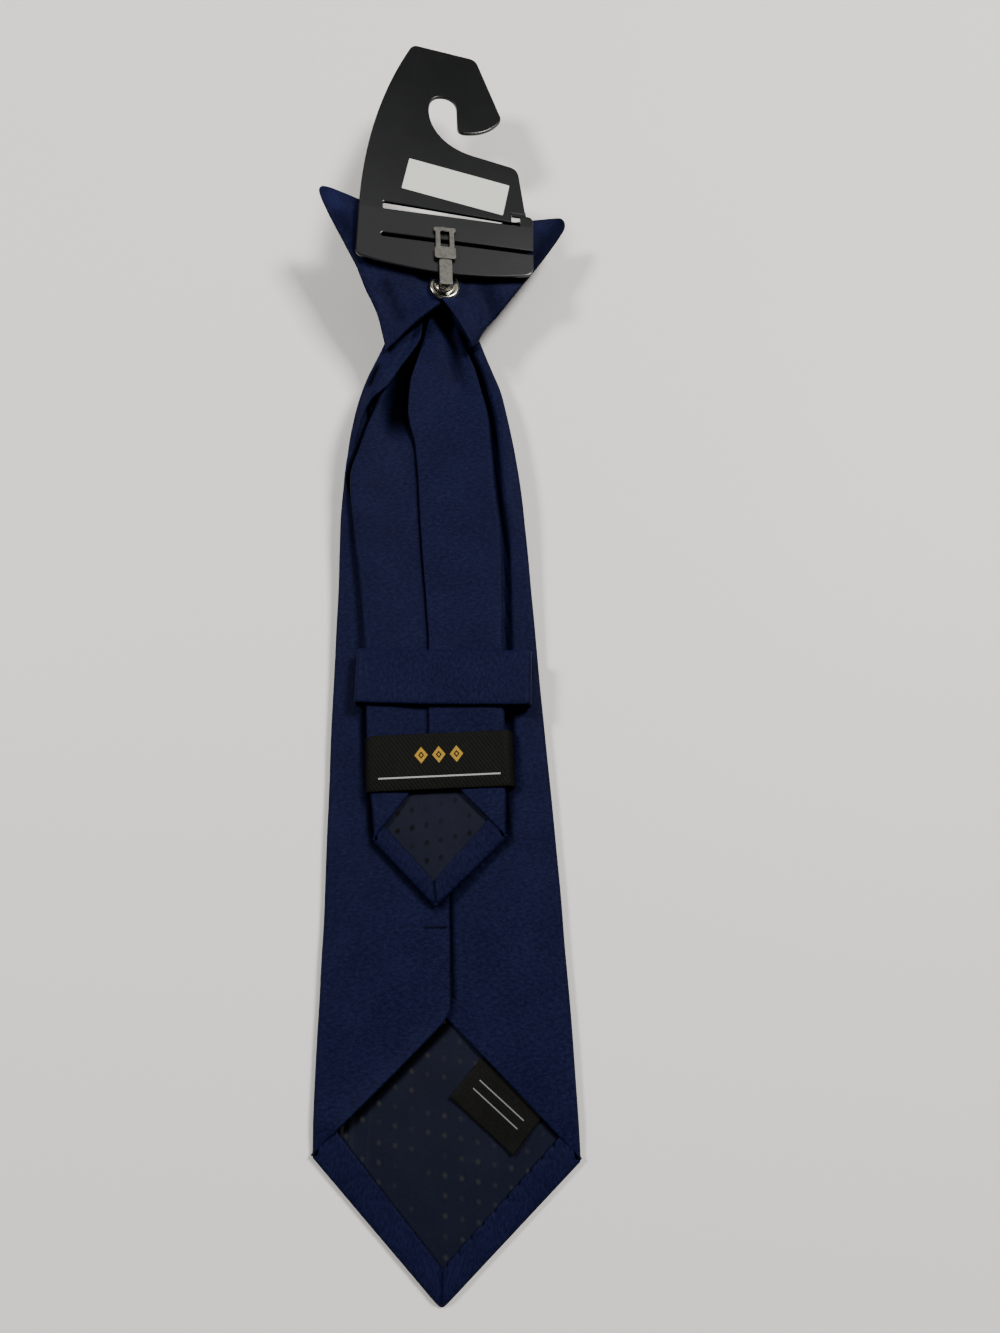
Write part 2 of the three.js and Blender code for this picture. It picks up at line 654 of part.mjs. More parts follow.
function clip() {
  const rivetLow = wingTop + GAP;
  const rim = rivetLow + RIVET_FLANGE;
  const domeTop = plateLow - GAP;
  const profile = [[0, rivetLow], [RIVET_RADIUS, rivetLow], [RIVET_RADIUS, rivetLow + RIVET_FLANGE * 0.5],
    [RIVET_RADIUS * 0.85, rim], [RIVET_DOME, rim], [RIVET_DOME * 0.8, domeTop], [0, domeTop]];
  const rivet = new THREE.LatheGeometry(profile.map(([r, z]) => new THREE.Vector2(r, z)), 24);
  rivet.rotateX(Math.PI / 2);
  const half = PLATE_WIDE / 2;
  const tab = TAB_WIDE / 2;
  const neck = half * 0.86;
  const tongueHalf = TONGUE_WIDE / 2;
  const outline = new THREE.Shape();
  outline.moveTo(-half, PLATE_START + 1);
  outline.absarc(-half + 1, PLATE_START + 1, 1, Math.PI, 1.5 * Math.PI, false);
  outline.lineTo(-half + 1, PLATE_START + 0.9);
  outline.lineTo(half - 1, PLATE_START + 0.9);
  outline.absarc(half - 1, PLATE_START + 1, 1, 1.5 * Math.PI, 2 * Math.PI, false);
  outline.lineTo(half, PLATE_START + 2.4);
  outline.lineTo(neck, PLATE_START + 3.4);
  outline.lineTo(neck, PLATE_END - 0.8);
  outline.lineTo(tab, PLATE_END);
  outline.lineTo(tab, PLATE_END + TAB_LONG);
  outline.lineTo(-tab, PLATE_END + TAB_LONG);
  outline.lineTo(-tab, PLATE_END);
  outline.lineTo(-neck, PLATE_END - 0.8);
  outline.lineTo(-neck, PLATE_START + 3.4);
  outline.lineTo(-half, PLATE_START + 2.4);
  const window = rectangle(-WINDOW_WIDE / 2, WINDOW_WIDE / 2, WINDOW_START, WINDOW_END);
  const hook = HOOK_WIDE / 2;
  const slotAt = SLOT_Y - CLIP_Y;
  const bridge = WINDOW_WIDE / 2 + 0.4;
  const web = CLIP_THICK / 2;
  const plate = join(
    cut(prism(outline, plateLow, plateLow + CLIP_THICK, 5), prism(window, plateLow - 1, plateLow + 2)),
    prism(rectangle(-hook, hook, slotAt - web, slotAt + web), hookLow, plateLow + web),
    prism(rectangle(-bridge, bridge, slotAt - web, slotAt + web), plateLow, plateLow + web),
    prism(rectangle(-hook, hook, slotAt + web - HOOK_LONG, slotAt + web), hookLow, hookLow + CLIP_THICK),
  );
  const tongueEnd = PLATE_START + 0.9 - GAP;
  const tongue = prism(
    rectangle(-tongueHalf, tongueHalf, tongueEnd - TONGUE_LONG, tongueEnd), plateLow, plateLow + CLIP_THICK);
  const group = new THREE.Group();
  group.add(
    piece('clip_rivet', rivet, steel),
    piece('clip_tongue', tongue, steel),
    piece('clip_plate', plate, steel),
  );
  group.position.set(CLIP_X, CLIP_Y, 0);
  group.rotation.z = radians(CLIP_TURN);
  return group;
}

// The flat hanger: a hook at the top, two bars at the foot and a catch at their right end
function hangerOutline() {
  const shape = new THREE.Shape();
  const middle = (HANGER_LEFT + HANGER_RIGHT) / 2;
  shape.moveTo(HANGER_LEFT, HANGER_FOOT + 2);
  shape.quadraticCurveTo(HANGER_LEFT, HANGER_FOOT, HANGER_LEFT + 2.2, HANGER_FOOT - 0.2);
  shape.quadraticCurveTo(middle, HANGER_FOOT - 2 * HANGER_SAG, HANGER_RIGHT - 2.6, HANGER_FOOT - 0.2);
  shape.quadraticCurveTo(HANGER_RIGHT, HANGER_FOOT + 0.2, HANGER_RIGHT, HANGER_FOOT + 2.8);
  shape.lineTo(HANGER_RIGHT - 0.3, CATCH_Y + 2.4);
  shape.quadraticCurveTo(HANGER_RIGHT - 0.5, CATCH_Y + 4, HANGER_RIGHT - 2.6, CATCH_Y + 4.2);
  shape.lineTo(SHOULDER_X, SHOULDER_Y - 3);
  shape.quadraticCurveTo(SHOULDER_X - 0.4, SHOULDER_Y - 0.6, SHOULDER_X - 2.6, SHOULDER_Y);
  shape.lineTo(THROAT_X + 8.5, THROAT_Y - 4);
  shape.bezierCurveTo(THROAT_X - 1, THROAT_Y - 1.6, THROAT_X - 4.6, THROAT_Y + 5.6,
    THROAT_X - 4.6, CROWN_Y - 5);
  shape.quadraticCurveTo(THROAT_X - 4.6, CROWN_Y, THROAT_X - CROWN_FLAT / 2, CROWN_Y);
  shape.lineTo(THROAT_X + CROWN_FLAT / 2, CROWN_Y);
  shape.quadraticCurveTo(THROAT_X + 3.6, CROWN_Y, THROAT_X + 3.8, CROWN_Y - 4);
  shape.lineTo(THROAT_X + 4.2, BEAK_Y + 2);
  shape.quadraticCurveTo(THROAT_X + 4.4, BEAK_Y, THROAT_X + 6.4, BEAK_Y);
  shape.quadraticCurveTo(BEAK_X - 4, BEAK_Y + 0.6, BEAK_X - 0.4, BEAK_Y + 6);
  shape.quadraticCurveTo(BEAK_X + 0.3, BEAK_Y + 7, BEAK_X, BEAK_Y + 8.4);
  shape.lineTo(TOP_RIGHT + 1.6, HANGER_TOP - 3.6);
  shape.quadraticCurveTo(TOP_RIGHT + 0.8, HANGER_TOP - 2, TOP_RIGHT - 1.2, HANGER_TOP - 1.8);
  shape.lineTo(TOP_LEFT + 1.2, HANGER_TOP);
  shape.quadraticCurveTo(TOP_LEFT, HANGER_TOP, TOP_LEFT - 0.8, HANGER_TOP - 1.2);
  shape.quadraticCurveTo(HANGER_LEFT + 0.2, BEAK_Y + 3, HANGER_LEFT, CATCH_Y);
  return shape;
}

function hanger() {
  const low = hangerLow;
  const high = hangerLow + HANGER_THICK;
  const through = (shape) => prism(shape, low - 1, high + 1);
  const body = cut(
    prism(hangerOutline(), low, high, 6),
    through(rectangle(SLOT_LEFT, HANGER_RIGHT + 5, SLOT_Y - SLOT_WIDE / 2, SLOT_Y + SLOT_WIDE / 2)),
    through(polygon([[SLOT_LEFT, CATCH_Y], [NOTCH_X, CATCH_Y - 0.1], [NOTCH_X, CATCH_Y + SLOT_WIDE * 0.7],
      [SLOT_LEFT, CATCH_Y + 2 * SLOT_WIDE]])),
    through(rectangle(NOTCH_X - 0.1, NOTCH_X + NOTCH_WIDE, CATCH_Y - 0.1, CATCH_Y + NOTCH_HIGH)),
    through(rectangle(NOTCH_X + 0.5, HANGER_RIGHT + 5, CATCH_Y + NOTCH_HIGH - 0.4, CATCH_Y + NOTCH_HIGH)),
  );
  return [
    piece('hanger', body, plastic),
    laid('hanger_sticker', STICKER, high + GAP, paper),
  ];
}

const knot = new THREE.Group();
knot.add(piece('knot_wrap', knotWrap(), satin), ...wings(), clip(), ...hanger());
knot.position.set(0, BLADE_LENGTH, KNOT_LIFT);
knot.rotation.set(0, radians(KNOT_ROLL), radians(KNOT_YAW), 'ZYX');

const tie = new THREE.Group();
tie.add(
  piece('front_blade', frontBlade(), satin),
  piece('tail', tailBlade(), satin),
  ...linings(),
  ...bands(),
  knot,
);

export default tie;
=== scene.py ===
"""A clip-on tie that lies face down, clipped to its plain display hanger."""

import math
from itertools import accumulate

import bmesh
import bpy
from bpy.props import FloatProperty, FloatVectorProperty, PointerProperty
from mathutils import Matrix, Vector, noise


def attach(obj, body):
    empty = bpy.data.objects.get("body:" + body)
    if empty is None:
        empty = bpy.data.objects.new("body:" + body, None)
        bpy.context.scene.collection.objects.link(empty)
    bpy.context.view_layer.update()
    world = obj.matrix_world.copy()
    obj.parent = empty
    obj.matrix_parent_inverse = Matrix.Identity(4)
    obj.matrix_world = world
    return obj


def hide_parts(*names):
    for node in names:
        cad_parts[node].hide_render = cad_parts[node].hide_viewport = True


bl_info = {
    "name": "Clip-on tie",
    "version": (1, 0, 0),
    "blender": (4, 5, 0),
    "location": "3D View > Sidebar > Tie",
    "description": "Makes a clip-on tie, clipped to its display hanger",
    "category": "Add Mesh",
}

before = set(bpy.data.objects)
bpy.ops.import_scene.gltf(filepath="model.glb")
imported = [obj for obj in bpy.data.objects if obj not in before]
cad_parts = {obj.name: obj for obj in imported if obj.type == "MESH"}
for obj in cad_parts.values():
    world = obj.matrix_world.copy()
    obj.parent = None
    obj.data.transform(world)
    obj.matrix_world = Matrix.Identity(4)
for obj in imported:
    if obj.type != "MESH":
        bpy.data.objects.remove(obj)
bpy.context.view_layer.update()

MM = 0.001


def run(columns, *rows):
    """A run: stations in order, each with a value for every named column."""
    names = columns.split()
    return [dict(zip(names, row)) for row in rows]


# How the blade runs from its corners (at 0) to the knot's mouth (at 1).
# half and mid are shares of the blade's half width, lift and trough of the knot's depth, bulk of
# the blade's thickness, and roll of the knot's roll.
BLADE_RUN = run(
    "at half mid lift trough bulk roll",
    (-0.2, 1.0, 0.045, 0, 0, 1, 0),
    (0, 1.0, 0.045, 0, 0, 1, 0),
    (0.25, 0.95, 0.04, 0.01, 0, 1, 0),
    (0.5, 0.885, 0.01, 0.05, 0, 1, 0),
    (0.66, 0.836, 0, 0.11, 0.07, 1, 0),
    (0.76, 0.805, -0.01, 0.155, 0.17, 1, 0.05),
    (0.84, 0.746, -0.008, 0.185, 0.25, 1.02, 0.25),
    (0.9, 0.67, 0.002, 0.195, 0.28, 1.08, 0.5),
    (0.934, 0.61, 0.015, 0.198, 0.28, 1.13, 0.7),
    (0.965, 0.53, 0.023, 0.2, 0.27, 1.17, 0.9),
    (1, 0.445, 0.03, 0.2, 0.26, 1.2, 1),
    (1.05, 0.36, 0, 0.21, 0.2, 1.2, 1),
)

# The turned edge of the blade's left flap: edge is a share of the blade's half width, and arch is
# how far the flap lies over the tail, from 0, under it, to 1.
FLAP_RUN = run(
    "at edge arch",
    (0.6, 0.094, 0), (0.66, 0.094, 0), (0.75, -0.6, 0), (0.81, -0.765, 0), (0.84, -0.69, 0.3),
    (0.87, -0.62, 0.8), (0.9, -0.53, 1), (0.925, -0.37, 1), (0.95, -0.27, 1), (0.975, -0.16, 1),
    (1, -0.08, 1), (1.03, -0.07, 0.9),
)

# How the tail runs from its corners (at 0) to the mouth (at 1). half, mid and seam are shares of
# the tail's half width, and rise and crown are shares of the knot's depth.
TAIL_RUN = run(
    "at half mid seam rise crown",
    (-0.15, 1, 0.05, -0.1, 0.03, 0),
    (0, 1, 0.05, -0.1, 0.03, 0),
    (0.15, 1.07, 0.01, -0.11, 0.04, 0),
    (0.23, 1.08, 0, -0.11, 0.085, 0),
    (0.36, 1.1, -0.01, -0.1, 0.085, 0),
    (0.45, 1.14, -0.03, -0.14, 0.05, 0),
    (0.6, 1.2, -0.1, -0.22, 0.03, 0.01),
    (0.695, 1.19, -0.165, -0.25, 0.03, 0.03),
    (0.76, 1.1, -0.11, -0.29, 0.03, 0.05),
    (0.84, 0.96, -0.02, -0.41, 0.03, 0.08),
    (0.9, 0.8, 0.03, -0.37, 0.03, 0.12),
    (0.95, 0.61, 0.11, -0.25, 0.04, 0.16),
    (1, 0.44, 0.13, -0.13, 0.04, 0.18),
    (1.07, 0.3, 0.13, 0, 0.04, 0.18),
)

# The tail's folds near the knot: valley is a share of the tail's half width, and dip and pocket,
# their depths, are shares of the tail's thickness.
TAIL_FOLDS = run(
    "at valley dip pocket",
    (0.7, 0.52, 0, 0), (0.76, 0.52, 0, 0.1), (0.8, 0.52, 0, 0.4), (0.84, 0.52, 0.03, 1.1),
    (0.88, 0.51, 0.2, 1.9), (0.92, 0.48, 0.5, 2.0), (0.96, 0.43, 0.65, 1.9), (1, 0.36, 0.6, 1.6),
    (1.03, 0.27, 0.75, 1.4), (1.07, 0.2, 1.1, 1.2),
)

# The left side of the painted shade in the pocket beside the tail's seam, in millimetres
POCKET_SIDE = run(
    "at side",
    (186, -13.8), (190, -13.8), (194, -13.4), (200, -12.8), (205, -11.8), (209, -10.4),
    (215, -8.0), (220, -6.0), (226, -4.0),
)

# The knot's sections from its mouth (at 0) to its top (at 1): half runs from the mouth's half
# width to the top's, and back and front are heights as shares of the knot's depth.
KNOT_RUN = run(
    "at half back front",
    (0, 0, 0.77, 0.05), (0.3, 0.25, 0.96, 0.02), (0.6, 0.6, 1, 0), (0.9, 0.95, 1, 0.04), (1, 1, 1, 0.3),
)

# The wings' outer edges from the mouth's corner up to the tip and a little along the top, as
# shares of the wings' reach and height
LEFT_WING_EDGE = [
    (-0.397, -0.144), (-0.435, -0.03), (-0.492, 0.11), (-0.59, 0.26), (-0.68, 0.42), (-0.87, 0.72),
    (-0.975, 0.9), (-1.0, 0.985), (-0.955, 1.005), (-0.83, 0.975), (-0.68, 0.93), (-0.5, 0.88),
]
RIGHT_WING_EDGE = [
    (0.262, -0.088), (0.305, -0.045), (0.375, 0.075), (0.475, 0.195), (0.63, 0.385), (0.83, 0.655),
    (0.97, 0.87), (1.0, 0.95), (0.975, 0.998), (0.895, 0.986), (0.83, 0.97), (0.73, 0.945), (0.55, 0.9),
]

# Soft streaks of painted shade on the cloth, and on the wings also of painted sheen: how strong, from
# where, to where and how wide, in millimetres. Those of the wings are in the knot's frame.
LAPEL_STREAKS = [
    (0.95, (-15.2, 208.6), (-17.3, 203.0), 1.0),
    (0.95, (-10.9, 215.3), (-11.6, 214.3), 1.0),
]
LINING_STREAKS = [
    (1.0, (2.2, 33.5), (2.2, 31.0), 1.4),
]
# Painted shade bands and painted sheen bands on the wings' satin
WING_SHADE_STREAKS = [
    (0.4, (-15.8, 12.8), (-11.0, 4.0), 1.8),
    (0.45, (12.5, 17.0), (17.4, 7.0), 2.6),
    (0.5, (36.0, 42.0), (25.0, 22.0), 2.6),
    (0.4, (-29.5, 33.0), (-24.5, 24.0), 2.4),
]
WING_SHEEN_STREAKS = [
    (0.12, (-2.5, 12.5), (2.5, 10.5), 2.2),
    (0.12, (-33.0, 41.0), (-31.0, 37.0), 2.5),
    (0.12, (28.5, 38.0), (27.5, 30.0), 1.8),
]

# Small sizes of the folded cloth, in millimetres: the gap between two layers, the back seam's
# place, how far a flap's edge is turned under, how wide and how deep its sides fall off, and how
# much the wide end's corners lean
FOLD_GAP = 0.45
SEAM_SIDE = 3.0
TURN_UNDER = 5.0
EDGE_SOFT = 1.6
EDGE_DROP = 0.3
CORNER_LEAN = -0.039

# Points across each stretch of a folded blade
TURN_STEPS = 3
ROLL_STEPS = 6
FLAP_STEPS = 30
SIDE_STEPS = 8
FRONT_STEPS = 34

# Where the bands lie on the tie, in millimetres, and how far they are turned, in degrees
KEEPER_PLACE, KEEPER_TURN = (2.4, 117.3), -2.3
LABEL_PLACE, LABEL_TURN = (0.95, 94.85), 1.1
CARE_PLACE, CARE_TURN = (13.0, 10.1), -42
TACK_Y = 53.15

# The knot's and the clip's frames in the tie's, and the clip's and the hanger's levels in them, in
# millimetres and degrees
KNOT_PLACE = (0, 219, 0.75)
KNOT_TURN = -2.5
KNOT_ROLL = 9.5
RIVET_PLACE = (0.9, 13.9, 0)
CLIP_TURN = 3.4
CLIP_LEVEL = 21.5
CLIP_THICK = 0.6
RIVET_LEVEL = 17.3
HANGER_TOP = 21.2

# Millimetres in one unit of the cloth coordinates
CLOTH_UNIT = 100.0

# The lamps: place, size, watts and the place that they face, in metres
LAMPS = {
    "Right lamp": ((0.623, 0.531, 0.971), (0.3, 0.3), 19.2, (0.0, 0.2, 0.0)),
    "Left lamp": ((-0.725, 0.464, 0.919), (0.24, 0.24), 12.8, (0.0, 0.2, 0.0)),
    "Far panel": ((0.2, 0.93, 1.0), (1.0, 0.35), 1.1, (0.0, 0.27, 0.0)),
    "Near fill": ((-0.1, -0.75, 0.75), (0.9, 0.5), 0.6, (0.0, 0.1, 0.0)),
}
CAMERA_PLACE = (0.01535, 0.04171, 0.264)
CAMERA_TURN = (17, 0, -1.56)


def length(name, description, millimetres):
    """A length on the panel."""
    return FloatProperty(name=name, description=description, default=millimetres * MM, unit="LENGTH",
                         min=0.0, precision=4)


def colour(name, description, red, green, blue):
    """A colour on the panel, in linear light."""
    return FloatVectorProperty(name=name, description=description, default=(red, green, blue, 1.0),
                               subtype="COLOR", size=4, min=0.0, max=1.0)


class TieSizes(bpy.types.PropertyGroup):
    """The sizes that the tie and its hanger are cut to."""
    blade_length: length("Blade length", "From the wide end's corners to the knot's mouth", 219)
    blade_half: length("Blade half width", "Half the width of the wide end", 32)
    blade_thick: length("Blade thickness", "Thickness of the folded blade", 3.2)
    blade_tip: length("Blade tip", "Length of the point below the corners", 31.5)
    tail_start: length("Tail start", "Height of the tail's corners above the blade's", 75)
    tail_half: length("Tail half width", "Half the width of the tail", 17)
    tail_thick: length("Tail thickness", "Thickness of the folded tail", 2.6)
    tail_tip: length("Tail tip", "Length of the tail's point", 16.8)
    knot_length: length("Knot length", "From the knot's mouth to its top", 37)
    knot_depth: length("Knot depth", "From the knot's front to its back", 15.2)
    knot_top: length("Knot top half width", "Half the width of the knot's top", 19.5)
    knot_mouth: length("Knot mouth half width", "Half the width of the knot's mouth", 12.4)
    wing_reach: length("Wing reach", "How far a wing reaches to the side", 37)
    wing_height: length("Wing height", "How far a wing reaches above the mouth", 43.6)
    cloth_thick: length("Cloth thickness", "Thickness of the satin with its backing", 0.4)
    hanger_thick: length("Hanger thickness", "Thickness of the hanger's plastic", 0.9)


class TieColours(bpy.types.PropertyGroup):
    """The colours of the tie and its hanger."""
    satin: colour("Satin", "The navy satin", 0.0024, 0.0030, 0.0136)
    satin_light: colour("Satin light", "The satin's raised threads", 0.0096, 0.0110, 0.0405)
    lining: colour("Lining", "The dark lining", 0.0042, 0.005, 0.011)
    label: colour("Label", "The black woven labels", 0.0021, 0.0022, 0.0017)
    gold: colour("Gold thread", "The label's lozenges", 0.37, 0.215, 0.03)
    silver: colour("Silver thread", "The label's rules", 0.40, 0.40, 0.38)
    plastic: colour("Plastic", "The hanger", 0.0042, 0.0043, 0.0045)
    steel: colour("Steel", "The clip", 0.105, 0.101, 0.09)
    rivet: colour("Rivet steel", "The brighter rivet", 0.30, 0.285, 0.235)
    paper: colour("Paper", "The blank sticker", 0.56, 0.56, 0.49)
    table: colour("Table", "The pale floor", 0.745, 0.722, 0.675)


def follow(stations, column, at):
    """The smooth value of a named column of a run at any place along it."""
    last = len(stations) - 1
    place = min(max(at, stations[0]["at"]), stations[last]["at"])
    i = 0
    while i < last - 1 and place > stations[i + 1]["at"]:
        i += 1

    def slope(a, b):
        return (stations[b][column] - stations[a][column]) / (stations[b]["at"] - stations[a]["at"])

    rise = slope(i, i + 1)

    def gentle(side):
        return 0 if side * rise <= 0 else 2 * side * rise / (side + rise)

    before = rise if i == 0 else gentle(slope(i - 1, i))
    after = rise if i == last - 1 else gentle(slope(i + 1, i + 2))
    span = stations[i + 1]["at"] - stations[i]["at"]
    t = (place - stations[i]["at"]) / span
    start = stations[i][column] * (1 + 2 * t) * (1 - t) ** 2 + stations[i + 1][column] * t * t * (3 - 2 * t)
    return start + span * (before * t * (1 - t) ** 2 - after * t * t * (1 - t))


def clamp(value, low=0.0, high=1.0):
    return min(max(value, low), high)


def smooth(value, low=0.0, high=1.0):
    """A share that rises gently from 0 at low to 1 at high."""
    t = clamp((value - low) / (high - low))
    return t * t * (3 - 2 * t)


def mix(a, b, share):
    return a + (b - a) * share


def bell(off, wide, power=2):
    """A share that is 1 at no distance and falls off over a width."""
    return math.exp(-(off / wide) ** power)


def ripple(x, y, wide, seed):
    """A soft unevenness between -1 and 1, in waves of about the given width."""
    return noise.noise(Vector((x / wide, y / wide, seed)))


def streaks(table, x, y):
    """The strongest of some soft streaks at a place."""
    strongest = 0.0
    for strength, start, end, wide in table:
        line = Vector(end) - Vector(start)
        off = Vector((x, y)) - Vector(start)
        along = clamp(off.dot(line) / line.length_squared)
        strongest = max(strongest, strength * bell((off - line * along).length, wide))
    return strongest


def rows_between(start, end, step):
    """Values from start to end, evenly apart by the step or a little less."""
    count = max(1, math.ceil((end - start) / step))
    return [mix(start, end, i / count) for i in range(count + 1)]


def eased(count, ease=0.5):
    """Shares from 0 to 1 that crowd towards both ends."""
    return [mix(i / count, (1 - math.cos(math.pi * i / count)) / 2, ease) for i in range(count + 1)]


def arc(cx, cy, radius, start, end, steps=5):
    """Points of an arc, its angles in degrees."""
    turns = [math.radians(mix(start, end, i / steps)) for i in range(steps + 1)]
    return [(cx + radius * math.cos(turn), cy + radius * math.sin(turn)) for turn in turns]


def curve(*controls, steps=12):
    """Points of a Bezier curve, without its first."""
    points = []
    for i in range(1, steps + 1):
        level = [Vector(control) for control in controls]
        while len(level) > 1:
            level = [a.lerp(b, i / steps) for a, b in zip(level, level[1:])]
        points.append(tuple(level[0]))
    return points


class Pattern:
    """The tie's runs and heights, in millimetres, worked out from the panel's sizes."""

    def __init__(self, sizes):
        for name in TieSizes.__annotations__:
            setattr(self, name, getattr(sizes, name) / MM)
        self.kept = {}

    def along(self, stations, column, at):
        """A run's value, kept for the other points of its row."""
        key = (id(stations), column, at)
        if key not in self.kept:
            self.kept[key] = follow(stations, column, at)
        return self.kept[key]

    def blade(self, column, y):
        unit = {"half": self.blade_half, "mid": self.blade_half, "lift": self.knot_depth,
                "trough": self.knot_depth, "bulk": self.blade_thick, "roll": 1}
        return self.along(BLADE_RUN, column, y / self.blade_length) * unit[column]

    def flap(self, column, y):
        unit = {"edge": self.blade_half, "arch": 1}
        return self.along(FLAP_RUN, column, y / self.blade_length) * unit[column]

    def tail(self, column, y):
        unit = self.knot_depth if column in ("rise", "crown") else self.tail_half
        return self.along(TAIL_RUN, column, self.tail_share(y)) * unit

    def fold(self, column, y):
        unit = self.tail_half if column == "valley" else self.tail_thick
        return self.along(TAIL_FOLDS, column, self.tail_share(y)) * unit

    def tail_share(self, y):
        return (y - self.tail_start) / (self.blade_length - self.tail_start)

    def blade_low(self, x, y):
        across = clamp((x - self.blade("mid", y)) / self.blade("half", y), -1, 1)
        low = self.blade("lift", y) + self.blade("trough", y) * across * across
        return low - x * math.tan(math.radians(KNOT_ROLL)) * self.blade("roll", y)

    def blade_top(self, x, y):
        return self.blade_low(x, y) + self.blade("bulk", y)

    def tail_low(self, x, y):
        return self.blade_top(x, y) + FOLD_GAP + self.tail("rise", y)

    def tail_crest(self, x, y):
        across = clamp((x - self.tail("mid", y)) / self.tail("half", y), -1, 1)
        return self.tail_low(x, y) + self.tail_thick + self.tail("crown", y) * (1 - across * across)


class Blade:
    """One cloth folded to a flat blade: a left flap, the front and a right flap."""

    def __init__(self, left, right, left_edge, right_edge, low, left_top, right_top, roll, side):
        self.left, self.right = left, right
        self.left_edge, self.right_edge = left_edge, right_edge
        self.low, self.left_top, self.right_top = low, left_top, right_top
        self.roll, self.side = roll, side

    def flap(self, y, outer, edge, top):
        """A flap's points from its turned-under edge to the top of its side fold."""
        step = 0.25
        turned = edge(y)
        slant = (edge(y + step) - edge(y - step)) / (2 * step)
        way = 1 if turned > outer else -1
        width = abs(turned - outer)
        reach = min(self.roll * math.hypot(1, slant), 0.4 * width)
        nose = turned - way * reach
        high = top(nose, y)
        points = []
        for i in range(TURN_STEPS):
            x = nose - way * min(TURN_UNDER * (1 - i / TURN_STEPS), 0.5 * width)
            points.append((x, y, top(x, y) - 2 * self.roll))
        for across, up in arc(0, 0, 1, -90, 90, ROLL_STEPS):
            points.append((nose + way * reach * across, y, high - self.roll + self.roll * up))
        inner = outer + way * min(self.side, max(width - reach, 0))
        for share in eased(FLAP_STEPS)[1:]:
            x = mix(nose, inner, share)
            points.append((x, y, top(x, y)))
        return points

    def row(self, y):
        """The points across the blade at y, from the left flap's edge round to the right flap's."""
        left, right = self.left(y), self.right(y)
        first = self.flap(y, left, self.left_edge, self.left_top)
        last = self.flap(y, right, self.right_edge, self.right_top)
        bottom = [(mix(left + self.side, right - self.side, share), y) for share in eased(FRONT_STEPS)]
        bottom = [(x, y, self.low(x, y)) for x, y in bottom]
        return [*first, *self.side_fold(first[-1], bottom[0], left), *bottom,
                *self.side_fold(bottom[-1], last[-1], right), *reversed(last)]

    def side_fold(self, start, end, outer):
        """The round of a side fold between its ends."""
        points = []
        for i in range(1, SIDE_STEPS):
            turn = math.pi * i / SIDE_STEPS
            x = mix(mix(start[0], end[0], i / SIDE_STEPS), outer, math.sin(turn))
            points.append((x, start[1], mix(start[2], end[2], (1 - math.cos(turn)) / 2)))
        return points


def lengths(points, start=0.0):
    """How far each point lies along the line through all of them."""
    return list(accumulate((math.dist(a, b) for a, b in zip(points, points[1:])), initial=start))


def grid(across, along, point):
    """Rows of a sheet's points, from its own places across and along."""
    return [[point(u, v) for u in across] for v in along]


def cloth(bm, rows, flip=False, start=0.0, shade=None):
    """Adds a sheet through rows of points, in millimetres, with its own lengths as cloth coordinates."""
    across, along = len(rows[0]) - 1, len(rows) - 1
    layer = bm.loops.layers.uv.get("Cloth") or bm.loops.layers.uv.new("Cloth")
    deep = bm.verts.layers.float.get("Shade") or bm.verts.layers.float.new("Shade")
    made = bmesh.ops.create_grid(bm, x_segments=across, y_segments=along, size=0.5)["verts"]
    middle = across // 2
    spans = [lengths(row) for row in rows]
    runs = lengths([row[middle] for row in rows], start)
    spot = {}
    for vert in made:
        i, j = round((vert.co.x + 0.5) * across), round((vert.co.y + 0.5) * along)
        vert.co = Vector(rows[j][i]) * MM
        # The Shade layer holds painted shade (above 0) and painted sheen (below 0) for the cloth's material
        vert[deep] = shade(*rows[j][i]) if shade else 0.0
        spot[vert] = ((spans[j][i] - spans[j][middle]) / CLOTH_UNIT, runs[j] / CLOTH_UNIT)
    faces = {face for vert in made for face in vert.link_faces}
    for face in faces:
        for loop in face.loops:
            loop[layer].uv = spot[loop.vert]
    if flip:
        bmesh.ops.reverse_faces(bm, faces=list(faces))


def tidy(bm, gap=1e-6):
    """Merges the points that meet and drops the faces that have no area."""
    bmesh.ops.remove_doubles(bm, verts=bm.verts, dist=gap)
    bmesh.ops.dissolve_degenerate(bm, edges=bm.edges, dist=gap)


def make_piece(name, bm, finish, smooth_faces=True):
    """Turns a bmesh into a piece of the tie that stands for the solid of the same name."""
    mesh = bpy.data.meshes.new(name + "_made")
    bm.to_mesh(mesh)
    bm.free()
    mesh.materials.append(finish)
    for polygon in mesh.polygons:
        polygon.use_smooth = smooth_faces
    piece = bpy.data.objects.new(name + "_made", mesh)
    bpy.context.scene.collection.objects.link(piece)
    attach(piece, "root")
    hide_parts(name)
    return piece


def thicken(piece, thick):
    """Gives a sheet its thickness, below its outer face."""
    solid = piece.modifiers.new("Thickness", "SOLIDIFY")
    solid.thickness = thick * MM
    solid.offset = -1.0
    solid.use_even_offset = False


def round_edges(piece, width):
    """Rounds the sharp edges of a thickened sheet."""
    bevel = piece.modifiers.new("Round edges", "BEVEL")
    bevel.width = width * MM
    bevel.segments = 2
    bevel.limit_method = "ANGLE"
    bevel.angle_limit = math.radians(50)
    bevel.harden_normals = False


# Materials

def tinted(shade, factor):
    """A colour made lighter or darker."""
    return [min(c * factor, 1) for c in shade[:3]] + [1]


